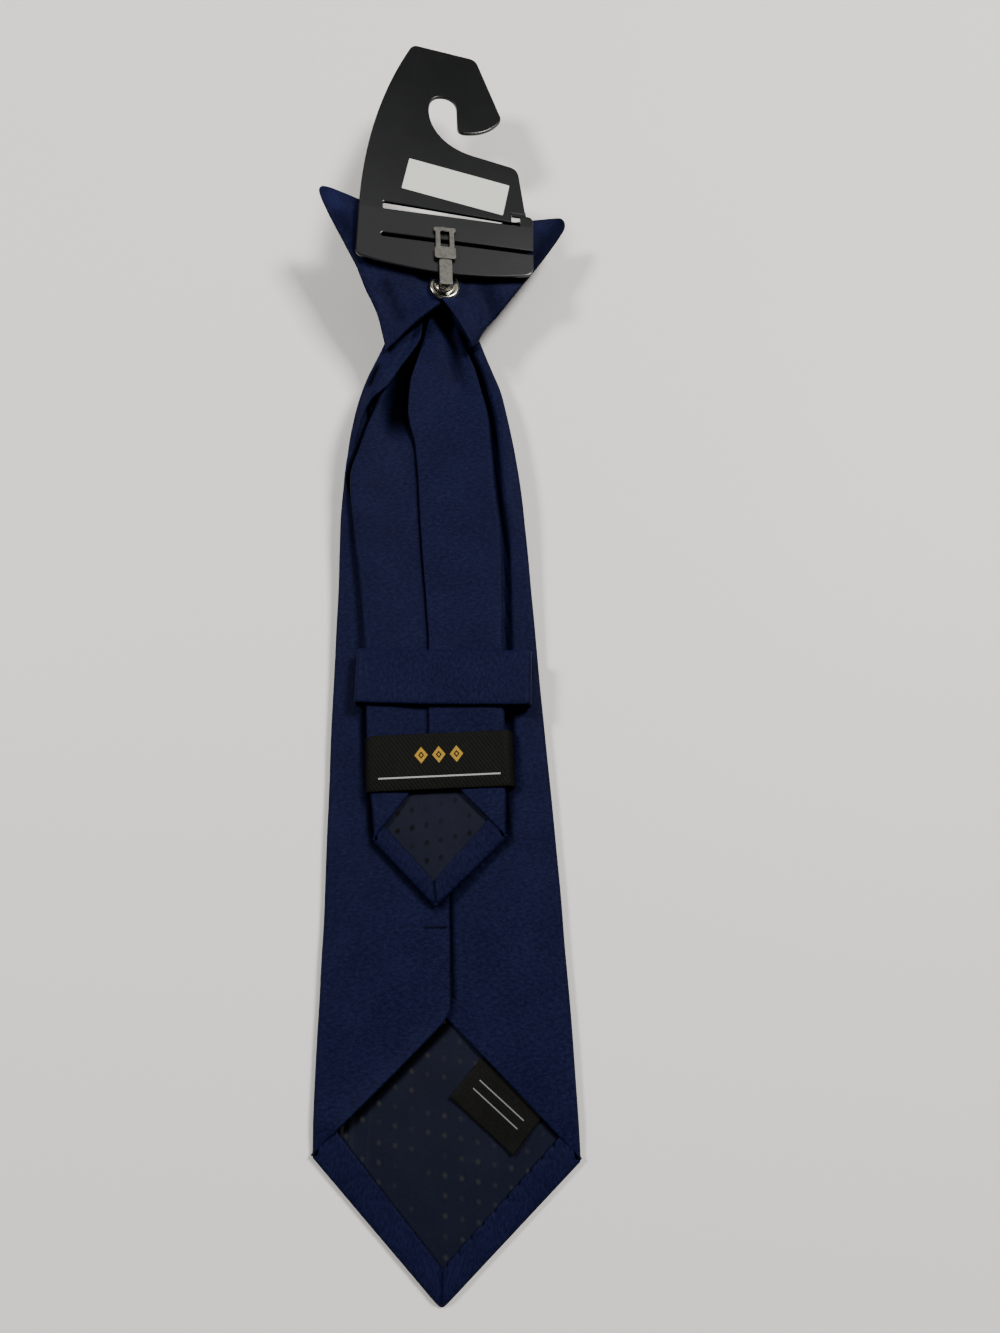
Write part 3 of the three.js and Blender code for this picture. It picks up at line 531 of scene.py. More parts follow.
class Finish:
    """A material whose look is put together from nodes."""

    def __init__(self, name, base, roughness, metallic=0.0, specular=0.5):
        self.material = bpy.data.materials.new(name)
        self.material.use_nodes = True
        self.tree = self.material.node_tree
        self.shader = self.tree.nodes["Principled BSDF"]
        self.set(Base_Color=base, Roughness=roughness, Metallic=metallic, Specular_IOR_Level=specular)

    def feed(self, socket, value):
        """Links a node's output to a socket, or sets the socket to a plain value."""
        if isinstance(value, bpy.types.NodeSocket):
            self.tree.links.new(value, socket)
        else:
            socket.default_value = value

    def set(self, **inputs):
        """Links or sets inputs of the shader."""
        for name, value in inputs.items():
            self.feed(self.shader.inputs[name.replace("_", " ")], value)

    def node(self, kind, settings=None, **inputs):
        """Adds a node, sets its own settings, and sets or links its inputs."""
        made = self.tree.nodes.new("ShaderNode" + kind)
        for name, value in (settings or {}).items():
            setattr(made, name, value)
        for name, value in inputs.items():
            self.feed(made.inputs[int(name[1:]) if name[0] == "_" else name.replace("_", " ")], value)
        return made

    def math(self, operation, *values):
        made = self.node("Math", {"operation": operation})
        for socket, value in zip(made.inputs, values):
            self.feed(socket, value)
        return made.outputs[0]

    def product(self, first, *others):
        for value in others:
            first = self.math("MULTIPLY", first, value)
        return first

    def clamped(self, value):
        return self.node("Clamp", Value=value).outputs[0]

    def ramp(self, value, low, high, first=0.0, last=1.0, kind="LINEAR"):
        """A value brought from one range to another and held in it."""
        made = self.node("MapRange", {"interpolation_type": kind}, Value=value, _1=low, _2=high,
                         _3=first, _4=last)
        return made.outputs[0]

    def within(self, value, middle, half):
        """One where a value is close to its middle, and nothing elsewhere."""
        off = self.math("ABSOLUTE", self.math("SUBTRACT", value, middle))
        return self.math("LESS_THAN", off, half)

    def broken(self, value, often, rise, low):
        """The uneven brightness of single stitches along a line."""
        return self.math("MULTIPLY_ADD", self.math("FRACT", self.math("MULTIPLY", value, often)), rise, low)

    def mixed(self, share, first, second):
        """One colour mixed into another by a share."""
        return self.node("Mix", {"data_type": "RGBA"}, _0=share, _6=first, _7=second).outputs[2]

    def noise(self, at, scale, detail, roughness=0.5):
        made = self.node("TexNoise", Vector=at, Scale=scale, Detail=detail, Roughness=roughness)
        return made.outputs["Fac"]

    def own_place(self, scale=(1, 1, 1), turn=0.0):
        """The piece's own coordinates, scaled and turned."""
        at = self.node("TexCoord").outputs["Object"]
        return self.node("Mapping", Vector=at, Scale=scale, Rotation=(0, 0, turn)).outputs[0]

    def cloth_place(self, scale, turn):
        """The cloth's own coordinates in millimetres, scaled and turned."""
        at = self.node("UVMap", {"uv_map": "Cloth"}).outputs["UV"]
        scale = [CLOTH_UNIT * share for share in scale]
        return self.node("Mapping", Vector=at, Scale=scale, Rotation=(0, 0, turn)).outputs[0]

    def cloth_axes(self):
        """How far across and along the cloth a place is, in millimetres."""
        at = self.node("SeparateXYZ", Vector=self.node("UVMap", {"uv_map": "Cloth"}).outputs["UV"])
        return [self.math("MULTIPLY", at.outputs[axis], CLOTH_UNIT) for axis in "XY"]

    def bumped(self, height, strength, distance):
        bump = self.node("Bump", Height=height, Strength=strength, Distance=distance)
        self.set(Normal=bump.outputs["Normal"])


def woven_cloth(name, dark, light, slope, roughness, fleck, coarse=1.0, specular=0.05, rib=1.0, ribbed=0.3):
    """A fine twill: slanting ribs, uneven threads, a slow change of tone over the cloth, and painted shade
    and painted sheen read from the Shade attribute.
    """
    made = Finish(name, dark, roughness, specular=specular)
    turn = math.radians(slope)
    ribs = made.node("TexWave", {"wave_type": "BANDS", "bands_direction": "DIAGONAL"},
                     Vector=made.cloth_place((1, 1, 1), turn), Scale=1.5 / (coarse * rib),
                     Distortion=1.2, Detail=1.0, Detail_Scale=2.0).outputs["Fac"]
    threads = made.noise(made.cloth_place((0.9, 1.6, 2), turn), 0.85 / coarse, 4.0, 0.85)
    patches = made.noise(made.cloth_place((1, 1, 1), turn), 0.09, 2.0)
    weave = made.math("MULTIPLY_ADD", threads, 1.9, made.math("MULTIPLY", ribs, ribbed))
    weave = made.math("SUBTRACT", weave, 0.6 + ribbed / 2)
    tone = made.math("MULTIPLY_ADD", patches, 0.5, 0.05 - 0.35 * fleck)
    share = made.clamped(made.math("MULTIPLY_ADD", weave, fleck, tone))
    # Painted light: where Shade is above 0 the cloth is painted in shade towards near black and made
    # rougher, and where it is below 0 it is painted with sheen towards a light tint
    shade = made.node("Attribute", {"attribute_name": "Shade"}).outputs["Fac"]
    hidden = made.clamped(shade)
    lifted = made.clamped(made.math("MULTIPLY", shade, -1.0))
    tone = made.mixed(lifted, made.mixed(share, dark, light), tinted(light, 3))
    made.ground = made.mixed(hidden, tone, tinted(dark, 0.06))
    rough = made.math("MULTIPLY_ADD", weave, 0.12, roughness - 0.04)
    rough = made.math("MULTIPLY_ADD", hidden, 0.5, rough)
    made.set(Base_Color=made.ground, Roughness=rough)
    made.bumped(weave, 0.3, 0.0002)
    return made


def finishes(colours):
    """The materials, all made the first time that one is asked for."""
    if "Navy satin" not in bpy.data.materials:
        woven_cloth("Navy satin", colours.satin, colours.satin_light, 35, 0.5, 1.5, specular=0.025)
        lining_finish("Dotted lining", colours, slant=-11.5, pitch=(3.94, 4.33), first=(0.23, 0.343),
                      dot=(0.0165, 0.0165, 0.019, 1), dot_edge=(0.05, 0.21))
        lining_finish("Tail lining", colours, slant=11.0, pitch=(3.7, 4.6), first=(0.2, 0.3),
                      dot=(0.0008, 0.0009, 0.0012, 1), dot_edge=(0.1, 0.22))
        label_finish(colours)
        care_finish(colours)
        steel_finish("Clip steel", colours.steel, 0.5)
        steel_finish("Rivet steel", colours.rivet, 0.2)
        plastic_finish(colours)
        paper_finish(colours)
        thread_finish(colours)
    return bpy.data.materials


def lining_finish(name, colours, slant, pitch, first, dot, dot_edge):
    """The lining: a finer weave with rows of small, uneven dots and painted sheen stripes at its left
    corner.
    """
    made = woven_cloth(name, colours.lining, tinted(colours.lining, 1.9), 80, 0.5, 0.5, 0.7)
    at = made.own_place()
    place = made.node("SeparateXYZ", Vector=at).outputs
    x = made.math("MULTIPLY_ADD", place["X"], 1 / (pitch[0] * MM), first[0])
    sheared = made.math("MULTIPLY_ADD", place["X"], -math.tan(math.radians(slant)), place["Y"])
    y = made.math("MULTIPLY_ADD", sheared, 1 / (pitch[1] * MM), first[1])
    off_x, off_y = (made.math("SUBTRACT", made.math("FRACT", value), 0.5) for value in (x, y))
    far = made.math("SQRT", made.math("MULTIPLY_ADD", off_x, off_x, made.math("MULTIPLY", off_y, off_y)))
    dots = made.ramp(far, *dot_edge, 1.0, 0.0, "SMOOTHSTEP")
    uneven = made.ramp(made.noise(at, 160.0, 1.0), 0.36, 0.62)
    tone = made.mixed(made.math("MULTIPLY", dots, uneven), made.ground, dot)
    # Painted sheen: light fine stripes over the lining's left corner
    hatch = made.ramp(made.noise(made.own_place((1300, 90, 300)), 1.0, 1.0), 0.5, 0.7)
    corner = made.ramp(place["X"], -24 * MM, -15 * MM, 0.6, 0.0)
    corner_sheen = made.math("MULTIPLY", hatch, corner)
    made.set(Base_Color=made.mixed(corner_sheen, tone, (0.016, 0.017, 0.022, 1)))


def label_finish(colours):
    """The black woven label, with three gold lozenges above a thin silver rule."""
    made = woven_cloth("Woven label", colours.label, (0.0085, 0.0085, 0.007, 1), 10, 0.62, 0.8, 1.1,
                       rib=2.6, ribbed=0.9)
    u, v = made.cloth_axes()
    pitch, wide, high, middle = 4.6, 1.75, 2.2, 9.0
    near = made.math("SUBTRACT", made.math("FRACT", made.math("MULTIPLY_ADD", u, 1 / pitch, 0.5)), 0.5)
    side = made.math("ABSOLUTE", made.math("MULTIPLY", near, pitch / wide))
    up = made.math("ABSOLUTE", made.math("MULTIPLY_ADD", v, 1 / high, -middle / high))
    size = made.math("ADD", side, up)
    inside = made.math("LESS_THAN", size, 1.0)
    line = made.math("MAXIMUM", made.math("GREATER_THAN", size, 0.45), made.math("LESS_THAN", size, 0.22))
    lozenges = made.product(inside, line, made.within(u, 0, pitch * 1.5), made.broken(v, 2.6, 0.5, 0.55))
    rule = made.product(made.within(v, 3.3, 0.2), made.within(u, 0, 15.8), made.broken(u, 2.2, 0.45, 0.5))
    gilt = made.mixed(lozenges, made.ground, colours.gold)
    made.set(Base_Color=made.mixed(rule, gilt, colours.silver))


def care_finish(colours):
    """The black care label with two thin grey rules."""
    made = woven_cloth("Care label", colours.label, (0.009, 0.0085, 0.007, 1), 0, 0.6, 0.7, 0.9)
    u, v = made.cloth_axes()
    rules = made.math("ADD", made.within(v, 5.2, 0.15), made.within(v, 7.6, 0.15))
    share = made.product(rules, made.within(u, 0, 7.0), made.broken(u, 1.8, 0.5, 0.4))
    made.set(Base_Color=made.mixed(share, made.ground, (0.22, 0.22, 0.21, 1)))


def steel_finish(name, steel, dullest):
    """Nickel-plated steel with faint brushing and dull spots."""
    made = Finish(name, steel, 0.3, metallic=1.0)
    brush = made.noise(made.own_place((4000, 500, 1000)), 1.0, 2.0)
    spots = made.noise(made.own_place(), 900.0, 3.0)
    made.set(Roughness=made.math("MULTIPLY_ADD", spots, 0.16, dullest - 0.08),
             Base_Color=made.mixed(made.ramp(spots, 0.45, 0.75), steel, tinted(steel, 0.62)))
    made.bumped(brush, 0.12, 0.0001)


def plastic_finish(colours):
    """Matte moulded plastic with a fine grain and light scuffs."""
    made = Finish("Matte plastic", colours.plastic, 0.5, specular=0.4)
    grain = made.noise(made.own_place(), 2600.0, 2.0)
    cloud = made.noise(made.own_place(), 60.0, 3.0)
    scuffs = made.ramp(made.noise(made.own_place((120, 2600, 800), 0.5), 1.0, 3.0, 0.7), 0.66, 0.8)
    tone = made.math("MULTIPLY", made.math("ADD", scuffs, cloud), 0.3)
    made.set(Base_Color=made.mixed(tone, colours.plastic, tinted(colours.plastic, 1.9)),
             Roughness=made.math("MULTIPLY_ADD", cloud, 0.1, 0.18))
    made.bumped(grain, 0.25, 0.00005)


def paper_finish(colours):
    """Slightly aged sticker paper."""
    made = Finish("Blank paper", colours.paper, 0.55, specular=0.4)
    fibre = made.noise(made.own_place(), 1500.0, 3.0)
    cloud = made.noise(made.own_place(), 90.0, 2.0)
    share = made.math("MULTIPLY", made.math("ADD", fibre, cloud), 0.22)
    made.set(Base_Color=made.mixed(share, colours.paper, tinted(colours.paper, 0.8)))
    made.bumped(fibre, 0.1, 0.00005)


def thread_finish(colours):
    """Twisted sewing thread."""
    dark = tinted(colours.satin, 0.3)
    made = Finish("Navy thread", dark, 0.6, specular=0.05)
    twist = made.node("TexWave", {"bands_direction": "DIAGONAL"}, Vector=made.own_place(), Scale=1800.0,
                      Distortion=0.5).outputs["Fac"]
    made.set(Base_Color=made.mixed(twist, dark, colours.satin))
    made.bumped(twist, 0.5, 0.0001)


def table_finish(colours):
    """The pale table, a little uneven in tone."""
    made = Finish("Pale table", colours.table, 0.55, specular=0.3)
    cloud = made.noise(made.own_place(), 4.0, 2.0)
    made.set(Base_Color=made.mixed(cloud, colours.table, tinted(colours.table, 0.94)))
    return made.material


def start_work(context):
    """The pattern and the materials that an operator works with."""
    return Pattern(context.scene.tie_sizes), finishes(context.scene.tie_colours)


# The wide blade

def side_fall(x, left, right):
    """How far a flap's top falls off towards the nearer side."""
    return EDGE_DROP * math.exp(-max(min(x - left, right - x), 0) / EDGE_SOFT)


def front_blade(pattern):
    """The wide blade's folded cloth."""
    p = pattern
    corner_x = [p.blade("mid", 0) - p.blade_half, p.blade("mid", 0) + p.blade_half]
    vee = 31.5

    def left(y):
        return p.blade("mid", y) - p.blade("half", y) + 0.12 * ripple(0, y, 14, 1.3)

    def right(y):
        return p.blade("mid", y) + p.blade("half", y) + 0.12 * ripple(9, y, 14, 2.3)

    def left_edge(y):
        """The seam's edge, which bends off softly to the left corner."""
        seam = SEAM_SIDE + 0.18 * ripple(0, y, 9, 5.1)
        if y > 0.5 * p.blade_length:
            return p.flap("edge", y)
        slanted = mix(corner_x[0], SEAM_SIDE + 0.6, y / (vee + 1.0))
        bend = 1.1
        return seam - math.log1p(math.exp(clamp((seam - slanted) / bend, -40, 40))) * bend

    def right_edge(y):
        hidden = max(mix(SEAM_SIDE - 6, -18, smooth(y, 120, 175)), left(y) + 3)
        slanted = mix(corner_x[1], SEAM_SIDE - 1.5, y / vee)
        return max(slanted, hidden)

    def groove(x, y):
        """How far the right flap sinks beside the tail's right edge."""
        beside = x - p.tail("mid", y) - p.tail("half", y)
        deep = 2.3 * bell(beside - 0.4, 1.45, 4)
        swell = 0.9 * bell(beside - 3.2, 1.5) * smooth(y, 140, 175)
        return (deep - swell) * smooth(y, 84, 96) * (1 - smooth(y, 216, 224))

    def crest(x, y):
        """How far the flaps' tops fall at the sides and towards the corners."""
        corner = 0.75 * (1 - smooth(y, -1, 9))
        uneven = 0.1 * ripple(x, y, 16, 3.7) + 0.06 * ripple(x, y, 6, 4.2)
        return side_fall(x, left(y), right(y)) + corner - uneven

    def left_top(x, y):
        flat = p.blade_top(x, y)
        arch = p.flap("arch", y)
        outer = p.blade("mid", y) - p.blade("half", y)
        if arch > 0:
            tail_edge = p.tail("mid", y) - p.tail("half", y)
            over = smooth((x - outer) / max(1.5, tail_edge - outer), -0.3, 1)
            flat = mix(flat, p.tail_crest(x, y) + FOLD_GAP + 1.6, arch * over)
        lifted = 1.2 * math.exp(-max(left_edge(y) - x, 0) / 3.0) * (1 - smooth(y, 27, 38)) * smooth(y, 2, 9)
        return flat - crest(x, y) + lifted

    def right_top(x, y):
        past = (x - SEAM_SIDE) / p.blade_half
        step = 0.95 * (1 - smooth(past, 0, 0.4)) * smooth(y, 10, 34)
        return p.blade_top(x, y) - step - crest(x, y) - groove(x, y)

    def lean(x, y):
        """How far the corners stand up at the left and down at the right."""
        return CORNER_LEAN * x * (1 - smooth(y, 0, 40))

    # Painted shadow along the lower edges of the tail's point, where it stands off the blade
    tail_point = (-0.4, p.tail_start - p.tail_tip)
    tail_corners = [p.tail("mid", p.tail_start) + side * p.tail_half for side in (-1, 1)]
    tail_streaks = [(0.8, (corner, p.tail_start), tail_point, 1.1) for corner in tail_corners]

    def shade(x, y, z):
        """Painted shade on the blade's folds: beside the seam and the tail, and in the hollows of the
        lapel.
        """
        if z < p.blade_low(x, y) + 1.4:
            return 0.0
        seam = 0.9 * bell(x - SEAM_SIDE - 0.5, 0.5) * smooth(y, 30, 36) * (1 - smooth(y, 60, 72))
        beside = abs(x - p.tail("mid", y)) - p.tail("half", y)
        tail_side = 0.85 * (1 - smooth(beside, 0.9, 2.3)) * smooth(y, p.tail_start, p.tail_start + 2)
        tail_side *= 1 - smooth(y, 112, 120)
        return max(seam, tail_side, streaks(LAPEL_STREAKS, x, y), streaks(tail_streaks, x, y))

    body = Blade(left, right, left_edge, right_edge, p.blade_low, left_top, right_top, 0.45, 1.2)
    top = p.blade_length + 9
    stations = [*rows_between(0, 36, 0.8), *rows_between(37.5, 150, 2.2), *rows_between(151, top, 1.1)]
    bm = bmesh.new()
    rows = [[(x, y + lean(x, y), z) for x, y, z in body.row(y)] for y in stations]
    cloth(bm, rows, flip=True, shade=shade)
    for way, x, hem_corner in ((-1, corner_x[0], (-26.6, 8.6)), (1, corner_x[1], (30.4, 5.6))):
        rows = tip_rows(way, (x, lean(x, 0)), (0.0, -p.blade_tip), hem_corner, (0.2, -23.3), floor=0.0,
                        high=2.45, side=1.2, lean=CORNER_LEAN, pricked=way > 0)
        cloth(bm, rows, flip=way > 0, start=-p.blade_tip)
    tidy(bm)
    return bm


def tip_rows(way, corner, point, hem_corner, hem_point, floor, high, side, lean=0.0, pricked=False):
    """Half of a blade's point: its hem, the fold along its edge and its front, from corner to tip."""
    roll, stitch_pitch, prick_wide, prick_deep = 0.4, 4.1, 0.42, 0.6
    start = Vector((corner[0] - way * side, corner[1]))
    end = Vector((point[0], point[1] + side))
    line = end - start
    outward = Vector((line.y, -line.x)).normalized()
    if outward.x * way < 0:
        outward = -outward
    edge_turn = math.atan2(outward.y, outward.x)
    start_turn, end_turn = 0.0, -0.5 * math.pi
    if way < 0:
        edge_turn %= 2 * math.pi
        start_turn, end_turn = math.pi, 1.5 * math.pi
    stations = [(0.0, mix(start_turn, edge_turn, i / 5)) for i in range(5)]
    stations += [(share, edge_turn) for share in eased(110, 0.4)]
    stations += [(1.0, mix(edge_turn, end_turn, i / 5)) for i in range(1, 6)]
    rows = []
    for share, turn in stations:
        centre = start.lerp(end, share)
        out = Vector((math.cos(turn), math.sin(turn)))
        to_hem = Vector(hem_corner).lerp(Vector(hem_point), share) - centre
        wide = to_hem.length
        mitre = 0.9 * math.exp(-abs((1 - share) * line.length) / 0.5)
        stitch = ((share * line.length) / stitch_pitch + 0.3) % 1 - 0.5
        prick = 0.0
        if pricked and 0.05 < share < 0.97:
            prick = prick_deep * bell(stitch * stitch_pitch, prick_wide)
        nose = wide - prick - roll

        def level(distance):
            fall = EDGE_DROP * math.exp(-distance / EDGE_SOFT)
            return high - fall - mitre + 0.05 * ripple(centre.x, centre.y, 5, 6.1 + distance * 0.1)

        points = []
        for back in (1.6, 0.8):
            points.append((*(centre + to_hem * ((wide - roll - back) / wide)), level(wide) - 2 * roll))
        for across, up in arc(0, 0, roll, -90, 90, ROLL_STEPS):
            points.append((*(centre + to_hem * ((nose + across) / wide)), level(wide) - prick - roll + up))
        for part in eased(10)[1:]:
            away = mix(nose, 0, part)
            dimple = prick * math.exp(-(wide - away) / 0.5)
            points.append((*(centre + to_hem * (away / wide)), level(away) - dimple))
        crown = points[-1][2]
        for i in range(1, SIDE_STEPS):
            bend = math.pi * i / SIDE_STEPS
            up = mix(crown, floor, (1 - math.cos(bend)) / 2)
            points.append((*(centre + out * (side * math.sin(bend))), up))
        for part in eased(16):
            x = mix(centre.x, point[0], part)
            points.append((x, centre.y - lean * (centre.x - x), floor))
        rows.append(points)
    return rows


def under_flaps(x, y, z):
    """Painted shadow on the lining under the edges of the two flaps."""
    left = ((x + 30.56) * 31.3 - (y - 1.2) * 34.2) / 46.4
    right = ((33.4 - x) * 34.0 - (y + 1.3) * 31.2) / 46.2
    left_shadow = 1 - smooth(left, 0.9, 3.2)
    right_shadow = 0.9 * (1 - smooth(right, 0.5, 1.3))
    return max(left_shadow, right_shadow, streaks(LINING_STREAKS, x, y))


def lining(corners, base, billow, seed):
    """A lining's diamond between its left, bottom, right and top corners."""
    left, bottom, right, top = (Vector(corner) for corner in corners)

    def point(u, v):
        spot = bottom.lerp(right, u).lerp(left.lerp(top, u), v)
        rim = smooth(min(u, 1 - u, v, 1 - v), 0, 0.2)
        swell = billow * rim * (0.6 + 0.5 * ripple(spot.x, spot.y, 11, seed))
        crease = 0.12 * ripple(spot.x * 2.2, spot.y * 0.7, 5, seed + 3) * smooth(rim, 0, 0.6)
        return spot.x, spot.y, base + swell + crease

    shares = rows_between(0, 1, 1 / 56)
    return grid(shares, shares, point)


class TIE_OT_front_blade(bpy.types.Operator):
    """Folds the wide blade from one cloth, with its pointed tip and hem"""
    bl_idname = "tie.front_blade"
    bl_label = "Wide blade"

    def execute(self, context):
        pattern, finish = start_work(context)
        piece = make_piece("front_blade", front_blade(pattern), finish["Navy satin"])
        thicken(piece, pattern.cloth_thick)
        return {"FINISHED"}


class TIE_OT_linings(bpy.types.Operator):
    """Lays the dotted linings in the two tips"""
    bl_idname = "tie.linings"
    bl_label = "Linings"

    def execute(self, context):
        pattern, finish = start_work(context)
        thick = 0.25
        bm = bmesh.new()
        corners = ((-27.6, 8.8), (0.2, -24.6), (30.8, 5.4), (1.4, 36.0))
        cloth(bm, lining(corners, 1.35, 0.45, 8.0), shade=under_flaps)
        piece = make_piece("front_blade_lining", bm, finish["Dotted lining"])
        thicken(piece, thick)
        floor = pattern.tail_low(0, pattern.tail_start)
        bm = bmesh.new()
        corners = ((-15.6, 80.2), (-0.8, 63.8), (14.4, 79.8), (-1.2, 97.0))
        cloth(bm, lining(corners, floor + 1.05, 0.3, 4.0))
        piece = make_piece("tail_lining", bm, finish["Tail lining"])
        thicken(piece, thick)
        return {"FINISHED"}


# The narrow tail

def narrow_tail(pattern):
    """The tail's folded cloth."""
    p = pattern
    start = p.tail_start
    corner_x = [p.tail("mid", start) - p.tail_half, p.tail("mid", start) + p.tail_half]
    vee = 20.5

    def left(y):
        return p.tail("mid", y) - p.tail("half", y) + 0.1 * ripple(3, y, 12, 7.3)

    def right(y):
        return p.tail("mid", y) + p.tail("half", y) + 0.1 * ripple(5, y, 12, 8.3)

    def seam(y):
        return p.tail("seam", y) + 0.12 * ripple(1, y, 8, 9.9)

    def left_edge(y):
        hidden = seam(y) + 5
        return min(mix(corner_x[0], hidden, (y - start) / (vee + 4)), hidden)

    def right_edge(y):
        return max(mix(corner_x[1], seam(y), (y - start) / vee), seam(y))

    def crest(x, y):
        """How far the flaps' tops fall at the sides and towards the corners."""
        corner = 0.5 * (1 - smooth(y, start - 1, start + 6))
        uneven = 0.08 * ripple(x, y, 12, 13.7) + 0.05 * ripple(x, y, 5, 14.2)
        return side_fall(x, left(y), right(y)) + corner - uneven

    def left_top(x, y):
        edge = seam(y)
        beside = clamp((edge - x) / (edge - left(y)))
        pocket = p.fold("pocket", y) * (1 - smooth(beside, 0.3, 0.85)) + 0.9 * (1 - smooth(beside, 0, 0.9))
        return p.tail_crest(x, y) - pocket * smooth(y, start, start + 14) - crest(x, y)

    def valley(x, y):
        wide = 0.12 * p.tail_half + 0.7 * smooth(y, 218, 226)
        return p.fold("dip", y) * bell(x - p.fold("valley", y), wide)

    def right_top(x, y):
        return p.tail_crest(x, y) - valley(x, y) - crest(x, y)

    def low(x, y):
        return p.tail_low(x, y) - max(valley(x, y) - 1.3, 0)

    def shade(x, y, z):
        """Painted shade in the tail's pocket, along its seam and valley, and in the hollow at the mouth."""
        if z < low(x, y) - 3:
            return 0.0
        dark = 0.0
        if x < seam(y) + 0.25:
            outer = follow(POCKET_SIDE, "side", y)
            pocket = smooth(x, outer - 0.8, outer + 2.0) * smooth(y, 185, 195)
            dark = max(pocket, 0.85 * bell(x - seam(y), 0.5) * smooth(y, start + 20, start + 30))
        hollow = bell(x - 3.9, 1.3, 4) * smooth(y, 222.5, 225.5)
        middle = mix(8.9, 6.0, (y - 204) / 16)
        return max(dark, hollow, 0.7 * bell(x - middle, 1.5) * smooth(y, 202, 215))

    body = Blade(left, right, left_edge, right_edge, low, left_top, right_top, 0.42, 1.0)
    top = p.blade_length + 12
    stations = [*rows_between(start, start + 24, 0.8), *rows_between(start + 25.5, 150, 2.0),
                *rows_between(151, top, 1.0)]
    bm = bmesh.new()
    cloth(bm, [body.row(y) for y in stations], flip=True, start=start, shade=shade)
    floor = p.tail_low(0, start)
    for way, x, hem_corner in ((-1, corner_x[0], (-15.4, 80.6)), (1, corner_x[1], (14.2, 80.4))):
        rows = tip_rows(way, (x, start), (-0.4, start - p.tail_tip), hem_corner, (-0.8, 64.4), floor=floor,
                        high=1.95 + floor, side=1.0)
        cloth(bm, rows, flip=way > 0, start=start - p.tail_tip)
    tidy(bm)
    return bm


class TIE_OT_tail(bpy.types.Operator):
    """Folds the narrow tail, whose folds deepen towards the knot"""
    bl_idname = "tie.tail"
    bl_label = "Tail"

    def execute(self, context):
        pattern, finish = start_work(context)
        piece = make_piece("tail", narrow_tail(pattern), finish["Navy satin"])
        thicken(piece, pattern.cloth_thick)
        return {"FINISHED"}


# Bands and labels

def turned(x, y, place, degrees):
    """A point turned about its own middle, and moved to its place."""
    turn = math.radians(degrees)
    return (place[0] + x * math.cos(turn) - y * math.sin(turn),
            place[1] + x * math.sin(turn) + y * math.cos(turn))


def stadium(half_wide, thick, count=4):
    """The section of a flattened band: across and up, round at both edges, anticlockwise."""
    radius = thick / 2
    flat = half_wide - radius
    points = []
    for side in (1, -1):
        points += [(side * x, side * y) for x, y in arc(flat, 0, radius, -90, 90, count)]
        points += [(side * mix(flat, -flat, i / 12), side * radius) for i in range(1, 12)]
    return points


def keeper_rows(pattern):
    """The keeper loop: a flattened band that goes round the tail, as rows of sections."""
    p = pattern
    middle = KEEPER_PLACE[1]
    wide, thick, corner, gap = 15.0, 0.95, 1.15, 0.3
    half = p.tail_half + 6.0
    flat = half - corner
    base = p.blade_low(0, middle) + p.blade_thick + gap + thick / 2
    crown = p.tail_crest(0, middle) + gap + thick / 2 + 0.25
    outline = [(mix(flat, -flat, i / 23), crown) for i in range(24)]
    outline += arc(-flat, crown - corner, corner, 90, 180, 6)[1:]
    outline += arc(-flat, base + corner, corner, 180, 270, 6)[1:]
    outline += [(mix(-flat, flat, i / 23), base) for i in range(1, 24)]
    outline += arc(flat, base + corner, corner, 270, 360, 6)[1:]
    outline += arc(flat, crown - corner, corner, 0, 90, 6)[1:]
    section = stadium(wide / 2, thick)
    rows = []
    count = len(outline)
    for i in range(count + 1):
        x, z = outline[i % count]
        before, after = outline[(i - 1) % count], outline[(i + 1) % count]
        tangent = (Vector(after) - Vector(before)).normalized()
        sag = 0.35 * math.cos(x / half * math.pi / 2)
        row = []
        for across, up in section + section[:1]:
            band_x, band_z = x - tangent.y * up, z + tangent.x * up
            band_y = across - sag + 0.12 * ripple(x, across, 7, 21)
            if z > base + 1:
                band_z += 0.1 * ripple(x, across, 6, 25)
            row.append((*turned(band_x, band_y, KEEPER_PLACE, KEEPER_TURN), band_z))
        rows.append(row)
    return rows


def label_rows(pattern):
    """The neck label: flat over the tail, with its ends turned down to the blade."""
    middle = LABEL_PLACE[1]
    wide, half, end, step = 14.8, 20.55, 2, 0.6
    crown = pattern.tail_crest(0, middle) + 0.8
    drop = crown - pattern.blade_low(0, middle) - pattern.blade_thick - 0.3

    def point(u, v):
        flat = min(abs(u), half - 3.2)
        bend = smooth(abs(u), half - 3.2, half + end)
        x = math.copysign(flat + (abs(u) - flat) * (1 - 0.55 * bend), u)
        z = crown - drop * bend + 0.1 * ripple(u, v, 7, 31) - 0.25 * (abs(v) / wide * 2) ** 3 * (1 - bend)
        return (*turned(x, v, LABEL_PLACE, LABEL_TURN), z)

    return grid(rows_between(-half - end, half + end, step), rows_between(-wide / 2, wide / 2, step), point)


def care_rows():
    """The care label: a small tape tucked under the right flap."""
    long, wide, tucked, step = 20.0, 9.4, 2.5, 0.5

    def point(u, v):
        curl = 0.35 * smooth(abs(u), long / 2 - 3, long / 2) * smooth(-v, 0, wide / 2)
        z = 2.2 + 0.12 * ripple(u, v, 6, 41) + curl - 0.12 * smooth(v, 0, wide / 2)
        return (*turned(u, v, CARE_PLACE, CARE_TURN), z)

    across = rows_between(-long / 2, long / 2, step)
    return grid(across, rows_between(-wide / 2, wide / 2 + tucked, step), point)


